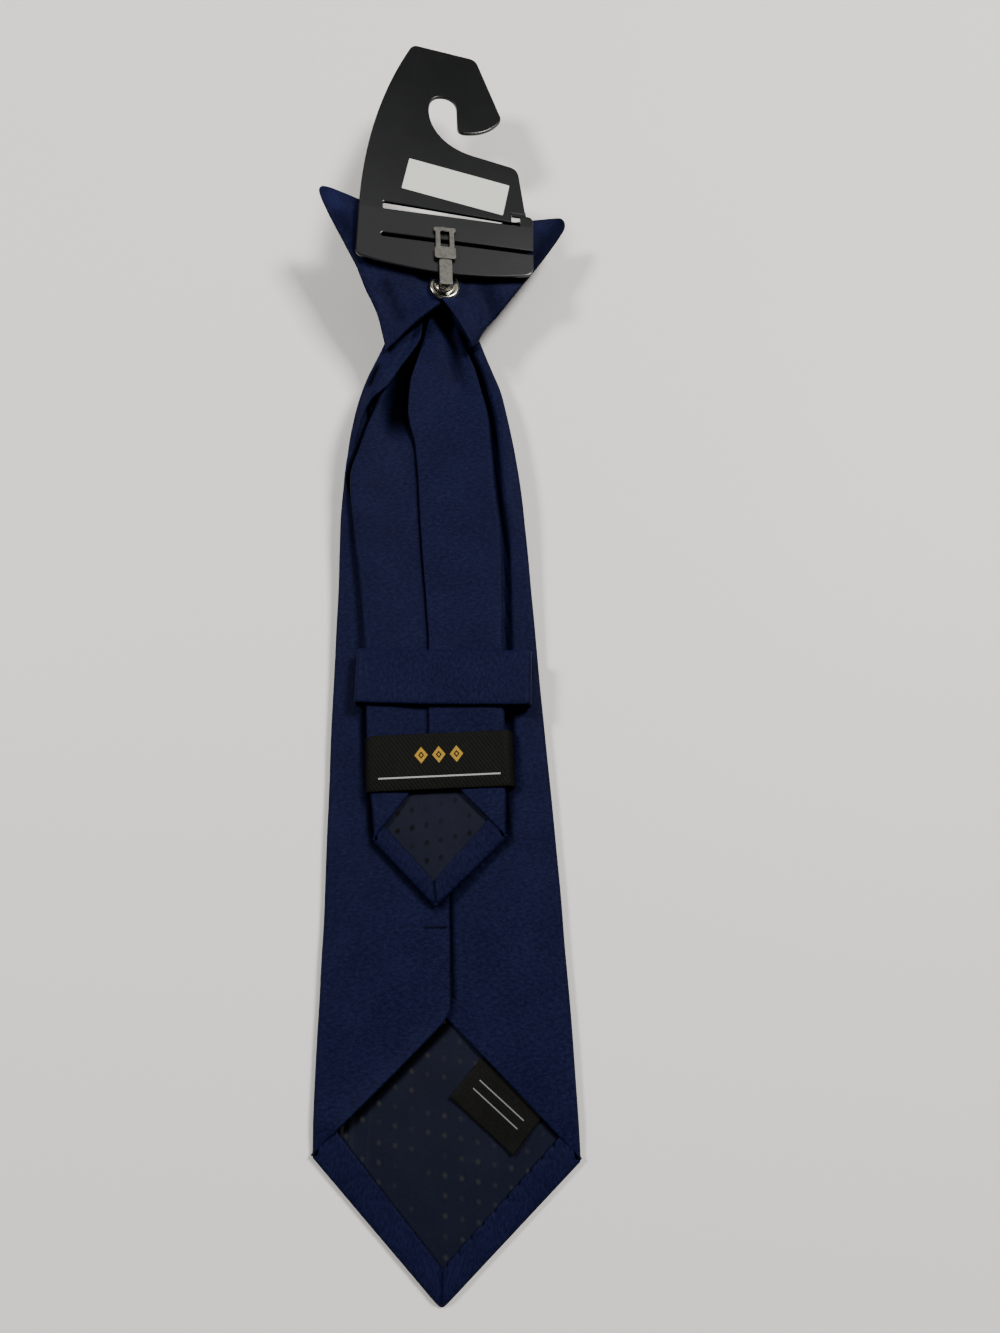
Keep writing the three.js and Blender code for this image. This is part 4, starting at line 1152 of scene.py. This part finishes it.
class TIE_OT_bands(bpy.types.Operator):
    """Adds the keeper loop, the two woven labels and the bar tack"""
    bl_idname = "tie.bands"
    bl_label = "Bands and labels"

    def execute(self, context):
        pattern, finish = start_work(context)
        bm = bmesh.new()
        cloth(bm, keeper_rows(pattern))
        tidy(bm)
        bmesh.ops.recalc_face_normals(bm, faces=bm.faces)
        piece = make_piece("keeper_loop", bm, finish["Navy satin"])
        bm = bmesh.new()
        cloth(bm, label_rows(pattern))
        piece = make_piece("neck_label", bm, finish["Woven label"])
        thicken(piece, 0.4)
        round_edges(piece, 0.12)
        bm = bmesh.new()
        cloth(bm, care_rows())
        piece = make_piece("care_label", bm, finish["Care label"])
        thicken(piece, 0.3)
        self.bar_tack(pattern, finish["Navy thread"])
        return {"FINISHED"}

    def bar_tack(self, pattern, finish):
        """A short bar of close stitches."""
        count, stitch = 16, Vector((0.26, 0.32, 0.14))
        base = pattern.blade_low(0, TACK_Y) + pattern.blade_thick + 0.12
        bm = bmesh.new()
        for i in range(count):
            place = Vector((mix(-3.1, 2.1, i / (count - 1)), TACK_Y + 0.12 * math.sin(i * 2.1), base))
            slant = Matrix.Rotation(0.25 * (-1) ** i, 3, "Z")
            made = bmesh.ops.create_uvsphere(bm, u_segments=8, v_segments=6, radius=1.0)["verts"]
            bmesh.ops.scale(bm, vec=stitch * MM, verts=made)
            bmesh.ops.rotate(bm, cent=(0, 0, 0), matrix=slant, verts=made)
            bmesh.ops.translate(bm, vec=place * MM, verts=made)
        make_piece("bar_tack", bm, finish)


# The knot and its wings

def knot_place():
    """From the knot's own frame to the tie's, in millimetres."""
    return (Matrix.Translation(KNOT_PLACE) @ Matrix.Rotation(math.radians(KNOT_TURN), 4, "Z")
            @ Matrix.Rotation(math.radians(KNOT_ROLL), 4, "Y"))


def knot_rows(pattern):
    """The knot's wrap as rings from its mouth, where its edge turns in, to its top."""
    p = pattern
    place = knot_place()
    count = 72
    lips = {-0.012: 0.9, -0.02: 0.3}
    rings = []
    for share in [*lips, 0.0, 0.02, *rows_between(0.05, 0.95, 0.03), 0.975, 0.992, 1.0]:
        at = clamp(share)
        inset = lips.get(share, 0.0) + 1.4 * smooth(share, 0.95, 1.0) ** 2
        half = mix(p.knot_mouth, p.knot_top, follow(KNOT_RUN, "half", at)) - inset
        back = follow(KNOT_RUN, "back", at) * p.knot_depth - inset * 0.4
        front = follow(KNOT_RUN, "front", at) * p.knot_depth + inset
        ring = []
        for i in range(count + 1):
            turn = 2 * math.pi * i / count
            c, s = math.cos(turn), math.sin(turn)
            across = math.copysign(abs(c) ** 0.75, c)
            x = mix(-1.9, 0, at) + half * across
            y = share * p.knot_length
            crease = 0.0
            if s >= 0:
                z = back - (back - front) * s ** 0.55
            else:
                z = back - 0.4 * abs(s)
                y = max(y, 12 - 1.25 * abs(x - 0.5))
            if s > 0:
                crease = 0.35 * bell(across * 0.8 + 0.25 - share * 0.5, 0.06)
            soft = 0.25 * ripple(x, share * 37, 9, 51) * smooth(s, 0, 0.3)
            ring.append(tuple(place @ Vector((x, y, max(z + crease + soft, front)))))
        rings.append(ring)
    return rings


def edge_point(edge, at, reach, height):
    """A point of a wing's outer edge, smoothly between the points of its table."""
    last = len(edge) - 1
    i = min(int(at), last - 1)
    t = at - i
    a, b, c, d = (Vector(edge[min(max(k, 0), last)]) for k in (i - 1, i, i + 1, i + 2))
    bend = 2 * a - 5 * b + 4 * c - d
    point = 0.5 * (2 * b + (c - a) * t + bend * t * t + (3 * b - a - 3 * c + d) * t ** 3)
    return point.x * reach, point.y * height


def wing_rows(pattern, edge, way):
    """A wing: rows along its outer edge, from the mouth's corner up, each from the edge to the crease."""
    p = pattern
    place = knot_place()
    apex, top = 9.2, 0.7 * p.wing_height
    last = len(edge) - 1

    def crease_x(y):
        return 0.5 - (y - apex) * 0.59

    def height(x, y):
        """How high the wing lies over the knot, apart from its rim and its soft unevenness."""
        below = smooth(apex - y, -6, apex + 9)
        z = p.knot_depth + 1.5 - 3.6 * below * clamp(abs(x) / p.knot_mouth) ** 2
        if way > 0:
            z += 1.5 * (1 - smooth(x - crease_x(y) - 6, 0.5, 8))
        from_rivet = math.hypot(x - RIVET_PLACE[0], y - RIVET_PLACE[1])
        return z + 1.2 * smooth(y, 9, 19) * smooth(from_rivet, 5.5, 9)

    rows = []
    stations = [*rows_between(0, 0.6, 0.05), *rows_between(0.7, last - 0.2, 0.12)]
    for at in [*stations, *rows_between(last - 0.15, last, 0.05)]:
        outer_x, outer_y = edge_point(edge, at, p.wing_reach, p.wing_height)
        share_up = at / last
        inner_y = mix(apex, top, share_up)
        inner_x = crease_x(inner_y) + (6 * smooth(at, 0, 3) if way < 0 else 0)
        wide = math.hypot(outer_x - inner_x, outer_y - inner_y)
        row = []
        for share in eased(40, 0.7):
            x, y = mix(outer_x, inner_x, share), mix(outer_y, inner_y, share)
            rim = min(share * wide, at * 4.2, (1 - share) * wide if way > 0 else 9)
            fall = 0.75 * (1 - math.sqrt(1 - (1 - clamp(rim / 1.3)) ** 2))
            fan = math.sin((share_up * 5.2 + 0.4) * math.pi) * 0.28 * math.sin(math.pi * share)
            z = height(x, y) - fall + fan + 0.12 * ripple(x, y, 8, 61 + way)
            row.append(tuple(place @ Vector((x, y, z))))
        rows.append(row)
    return rows


def wing_shade(x, y, z):
    """The wings' painted shade bands and painted sheen bands, in the knot's own frame."""
    spot = knot_place().inverted() @ Vector((x, y, z))
    return streaks(WING_SHADE_STREAKS, spot.x, spot.y) - streaks(WING_SHEEN_STREAKS, spot.x, spot.y)


class TIE_OT_knot(bpy.types.Operator):
    """Wraps the stuffed knot and lays its two wings over its back"""
    bl_idname = "tie.knot"
    bl_label = "Knot and wings"

    def execute(self, context):
        pattern, finish = start_work(context)
        bm = bmesh.new()
        cloth(bm, knot_rows(pattern))
        tidy(bm)
        top = [edge for edge in bm.edges if edge.is_boundary and edge.verts[0].co.y > 0.24]
        bmesh.ops.holes_fill(bm, edges=top)
        bmesh.ops.recalc_face_normals(bm, faces=bm.faces)
        piece = make_piece("knot_wrap", bm, finish["Navy satin"])
        thicken(piece, 1.0)
        for name, edge, way in (("wing_left", LEFT_WING_EDGE, -1), ("wing_right", RIGHT_WING_EDGE, 1)):
            bm = bmesh.new()
            cloth(bm, wing_rows(pattern, edge, way), flip=way > 0, shade=wing_shade)
            tidy(bm)
            piece = make_piece(name, bm, finish["Navy satin"])
            thicken(piece, 0.7)
        return {"FINISHED"}


# The steel clip

def clip_place():
    """From the clip's own frame, at its rivet, to the tie's, in millimetres."""
    return knot_place() @ Matrix.Translation(RIVET_PLACE) @ Matrix.Rotation(math.radians(CLIP_TURN), 4, "Z")


def rounded_box(low, high):
    """A box's outline from its right lower and upper corners' round: centre across, up, and radius."""
    (low_x, low_y, low_round), (high_x, high_y, high_round) = low, high
    return [*arc(low_x, low_y, low_round, -90, 0, 3), *arc(high_x, high_y, high_round, 0, 90, 3),
            *arc(-high_x, high_y, high_round, 90, 180, 3), *arc(-low_x, low_y, low_round, 180, 270, 3)]


def plate_from(bm, outline, low, thick, mirrored=False):
    """Adds a flat plate with the given outline, or with that and its mirror image, in millimetres."""
    flat = [bm.faces.new([bm.verts.new((x, y, low)) for x, y in outline])]
    if mirrored:
        bmesh.ops.mirror(bm, geom=[*bm.verts, *bm.edges, *flat], matrix=Matrix.Identity(4),
                         merge_dist=1e-4, axis="X")
        flat = list(bm.faces)
    made = bmesh.ops.extrude_face_region(bm, geom=flat)["geom"]
    lifted = [item for item in made if isinstance(item, bmesh.types.BMVert)]
    bmesh.ops.translate(bm, vec=(0, 0, thick), verts=lifted)


def soften(bm, width=0.16):
    """Rounds the sharp edges of stamped steel."""
    bm.normal_update()
    sharp = [edge for edge in bm.edges if edge.is_manifold and edge.calc_face_angle() > math.radians(40)]
    bmesh.ops.bevel(bm, geom=sharp, offset=width, segments=3, profile=0.5, affect="EDGES",
                    clamp_overlap=True, material=-1)


def put(bm, place):
    """Moves a finished shape from its own frame to the tie's, in metres."""
    bmesh.ops.recalc_face_normals(bm, faces=bm.faces)
    bmesh.ops.transform(bm, matrix=place, verts=bm.verts)
    bmesh.ops.scale(bm, vec=(MM, MM, MM), verts=bm.verts)


class TIE_OT_clip(bpy.types.Operator):
    """Makes the steel clip: its rivet, its tongue and the plate with its window"""
    bl_idname = "tie.clip"
    bl_label = "Steel clip"

    def execute(self, context):
        _, finish = start_work(context)
        self.rivet(finish["Rivet steel"])
        self.tongue(finish["Clip steel"])
        self.plate(finish["Clip steel"])
        return {"FINISHED"}

    def rivet(self, finish):
        """A dished washer with a domed rivet, spun round its axis."""
        profile = [(0, 0), (4.3, 0), (4.45, 0.15), (4.5, 0.45), (4.3, 0.8), (3.9, 1.0), (3.4, 0.95),
                   (2.9, 0.8), (2.45, 0.85), (2.1, 1.15), (1.95, 1.9), (1.7, 2.3), (1.2, 2.55),
                   (0.6, 2.68), (0, 2.7)]
        bm = bmesh.new()
        verts = [bm.verts.new((out, 0, RIVET_LEVEL + up)) for out, up in profile]
        edges = [bm.edges.new(pair) for pair in zip(verts, verts[1:])]
        bmesh.ops.spin(bm, geom=verts + edges, cent=(0, 0, 0), axis=(0, 0, 1), angle=2 * math.pi, steps=48,
                       use_merge=True)
        tidy(bm, 1e-4)
        put(bm, clip_place())
        make_piece("clip_rivet", bm, finish)

    def tongue(self, finish):
        """The spring tongue that comes down over the rivet."""
        bm = bmesh.new()
        plate_from(bm, rounded_box((1.35, -2.0, 0.55), (1.3, 5.4, 0.6)), CLIP_LEVEL, CLIP_THICK)
        soften(bm)
        put(bm, clip_place())
        make_piece("clip_tongue", bm, finish, smooth_faces=False)

    def plate(self, finish):
        """The plate, wide at both ends, with a window; the outline is its right half."""
        half, neck, tab, window = 3.15, 2.75, 3.25, 1.3
        start, wide_end, top = 6.2, 10.2, 16.9
        outline = [(0, start), *arc(half - 0.9, start + 0.9, 0.9, -90, 0, 4), (half, wide_end - 0.5),
                   (neck, wide_end), (neck, top - 1.6), (tab, top - 1.2),
                   *arc(tab - 0.25, top - 0.25, 0.25, 0, 90, 2), (0, top), (0, top - 1.3),
                   *arc(window - 0.3, top - 1.6, 0.3, 90, 0, 3),
                   *arc(window - 0.3, wide_end + 0.4, 0.3, 0, -90, 3), (0, wide_end + 0.1)]
        bm = bmesh.new()
        plate_from(bm, outline, CLIP_LEVEL, CLIP_THICK, mirrored=True)
        soften(bm)
        put(bm, clip_place())
        make_piece("clip_plate", bm, finish, smooth_faces=False)


# The display hanger

def hanger_outline():
    """The hanger's outline with its two slots and its catch, in the knot's frame."""
    left, right, foot = -25.2, 26.6, 18.9
    middle = (left + right) / 2
    slot_left, slot_y, slot_half = -18.2, 26.8, 0.6
    catch_y, catch_left, catch_round, catch_top = 35.6, -17.8, 0.4, 39.3
    notch, notch_end = 19.8, 22.4
    shoulder_x, shoulder_y, throat_x, throat_y, crown = 21.8, 56.6, -1.6, 63.0, 79.4
    points = [(left, foot + 2)]

    def bend(*controls, steps):
        points.extend(curve(points[-1], *controls, steps=steps))

    bend((left, foot), (left + 2.2, foot - 0.2), steps=6)
    bend((middle, foot - 5), (right - 2.6, foot - 0.2), steps=30)
    bend((right, foot + 0.2), (right, foot + 2.8), steps=6)
    points.append((right - 0.13, slot_y - slot_half))
    points += arc(slot_left + slot_half, slot_y, slot_half, -90, -270, 8)
    points += [(right - 0.14, slot_y + slot_half), (right - 0.3, catch_y + 1.9)]
    bend((right - 0.4, catch_top), (right - 2.3, catch_top), steps=6)
    points += [(notch_end, catch_top), (notch_end, catch_y)]
    points += arc(catch_left, catch_y + 0.4, catch_round, -90, -180, 4)
    points += arc(catch_left, catch_y + 2.0, catch_round, 180, 90, 4)
    points += [(notch, catch_y + 0.84), (notch, catch_top + 0.4), (24.0, catch_top + 0.4),
               (shoulder_x, shoulder_y - 3)]
    bend((shoulder_x - 0.4, shoulder_y - 0.6), (shoulder_x - 2.6, shoulder_y), steps=8)
    points.append((throat_x + 8.5, throat_y - 4))
    bend((throat_x - 1, throat_y - 1.6), (throat_x - 4.6, throat_y + 5.6), (throat_x - 4.6, crown - 5),
         steps=24)
    bend((throat_x - 4.6, crown - 1.2), (throat_x - 2.6, crown), (throat_x - 0.4, crown), steps=10)
    bend((throat_x + 1.8, crown), (throat_x + 3.8, crown - 1.4), (throat_x + 3.8, crown - 4.6), steps=10)
    points.append((throat_x + 4.2, 68.7))
    bend((throat_x + 4.4, 66.7), (throat_x + 6.4, 66.7), steps=8)
    bend((11.8, 67.3), (15.4, 72.7), steps=12)
    bend((16.1, 73.7), (15.8, 75.1), steps=6)
    points.append((8.2, 94.3))
    bend((7.4, 95.9), (5.4, 96.1), steps=6)
    points.append((-10.8, 97.9))
    bend((-12, 97.9), (-12.8, 96.7), steps=6)
    bend((left + 0.2, 69.7), (left, catch_y), steps=30)
    return points


class TIE_OT_hanger(bpy.types.Operator):
    """Cuts the flat plastic hanger and sticks the blank sticker on it"""
    bl_idname = "tie.hanger"
    bl_label = "Hanger and sticker"

    def execute(self, context):
        pattern, finish = start_work(context)
        self.hanger(pattern.hanger_thick, finish["Matte plastic"])
        self.sticker(finish["Blank paper"])
        return {"FINISHED"}

    def hanger(self, thick, finish):
        """The hanger with its rounded upper rim and its small stop, bent a little at its foot."""
        low = HANGER_TOP - thick
        stop = [(19.9, 38.8), (24.2, 38.8), (24.0, 40.6), (19.9, 40.6)]
        fold, fall = 35.6, math.tan(math.radians(1.6))
        bm = bmesh.new()
        plate_from(bm, hanger_outline(), low, thick)
        bm.normal_update()
        rim = [edge for edge in bm.edges if min(vert.co.z for vert in edge.verts) > HANGER_TOP - 0.1]
        bmesh.ops.bevel(bm, geom=rim, offset=0.28, segments=3, profile=0.5, affect="EDGES",
                        clamp_overlap=False, material=-1)
        plate_from(bm, stop, low + 0.1, thick - 0.2)
        bmesh.ops.bisect_plane(bm, geom=[*bm.verts, *bm.edges, *bm.faces], plane_co=(0, fold, 0),
                               plane_no=(0, 1, 0))
        for vert in bm.verts:
            vert.co.z -= fall * max(fold - vert.co.y, 0)
        put(bm, knot_place())
        make_piece("hanger", bm, finish, smooth_faces=False)

    def sticker(self, finish):
        """The blank sticker, stuck on a little askew."""
        bm = bmesh.new()
        plate_from(bm, rounded_box((15.0, -5.3, 0.3), (15.0, 5.3, 0.3)), HANGER_TOP + 0.02, 0.12)
        askew = Matrix.Translation((2.9, 46.4, 0)) @ Matrix.Rotation(math.radians(-9.3), 4, "Z")
        put(bm, knot_place() @ askew)
        make_piece("hanger_sticker", bm, finish, smooth_faces=False)


# The stage

class TIE_OT_stage(bpy.types.Operator):
    """Sets the pale table, the soft lights and the camera"""
    bl_idname = "tie.stage"
    bl_label = "Table, lights and camera"

    def execute(self, context):
        scene = context.scene
        camera = bpy.data.objects.new("Camera", bpy.data.cameras.new("Camera"))
        camera.location = CAMERA_PLACE
        camera.rotation_euler = [math.radians(turn) for turn in CAMERA_TURN]
        camera.data.lens = 27.05
        camera.data.sensor_width = 36
        camera.data.clip_start = 0.01
        scene.collection.objects.link(camera)
        scene.camera = camera
        self.table(scene)
        for name, lamp in LAMPS.items():
            self.lamp(scene, name, *lamp)
        world = bpy.data.worlds.new("Soft room")
        world.use_nodes = True
        background = world.node_tree.nodes["Background"]
        background.inputs["Color"].default_value = (0.95, 0.97, 1.0, 1)
        background.inputs["Strength"].default_value = 0.045
        scene.world = world
        return {"FINISHED"}

    def table(self, scene):
        bm = bmesh.new()
        bmesh.ops.create_grid(bm, x_segments=1, y_segments=1, size=3.0)
        mesh = bpy.data.meshes.new("table")
        bm.to_mesh(mesh)
        bm.free()
        mesh.materials.append(table_finish(scene.tie_colours))
        table = bpy.data.objects.new("table", mesh)
        scene.collection.objects.link(table)

    def lamp(self, scene, name, place, size, watts, aim):
        data = bpy.data.lights.new(name, "AREA")
        data.shape = "RECTANGLE"
        data.size, data.size_y = size
        data.energy = watts
        lamp = bpy.data.objects.new(name, data)
        lamp.location = place
        lamp.rotation_euler = (Vector(place) - Vector(aim)).to_track_quat("Z", "Y").to_euler()
        scene.collection.objects.link(lamp)


class TIE_PT_panel(bpy.types.Panel):
    """Lists the tie's pieces, sizes and colours"""
    bl_idname = "TIE_PT_panel"
    bl_label = "Clip-on tie"
    bl_space_type = "VIEW_3D"
    bl_region_type = "UI"
    bl_category = "Tie"

    def draw(self, context):
        for operator in OPERATORS:
            self.layout.operator(operator.bl_idname)
        for group in (context.scene.tie_sizes, context.scene.tie_colours):
            box = self.layout.box()
            for name in group.__annotations__:
                box.prop(group, name)


OPERATORS = [TIE_OT_stage, TIE_OT_front_blade, TIE_OT_tail, TIE_OT_linings, TIE_OT_bands, TIE_OT_knot,
             TIE_OT_clip, TIE_OT_hanger]
CLASSES = [TieSizes, TieColours, *OPERATORS, TIE_PT_panel]


def register():
    for item in CLASSES:
        bpy.utils.register_class(item)
    bpy.types.Scene.tie_sizes = PointerProperty(type=TieSizes)
    bpy.types.Scene.tie_colours = PointerProperty(type=TieColours)


def unregister():
    del bpy.types.Scene.tie_colours
    del bpy.types.Scene.tie_sizes
    for item in reversed(CLASSES):
        bpy.utils.unregister_class(item)


def main():
    """Makes the tie piece by piece."""
    register()
    bpy.ops.tie.stage()
    bpy.ops.tie.front_blade()
    bpy.ops.tie.tail()
    bpy.ops.tie.linings()
    bpy.ops.tie.bands()
    bpy.ops.tie.knot()
    bpy.ops.tie.clip()
    bpy.ops.tie.hanger()


if __name__ == "__main__":
    main()
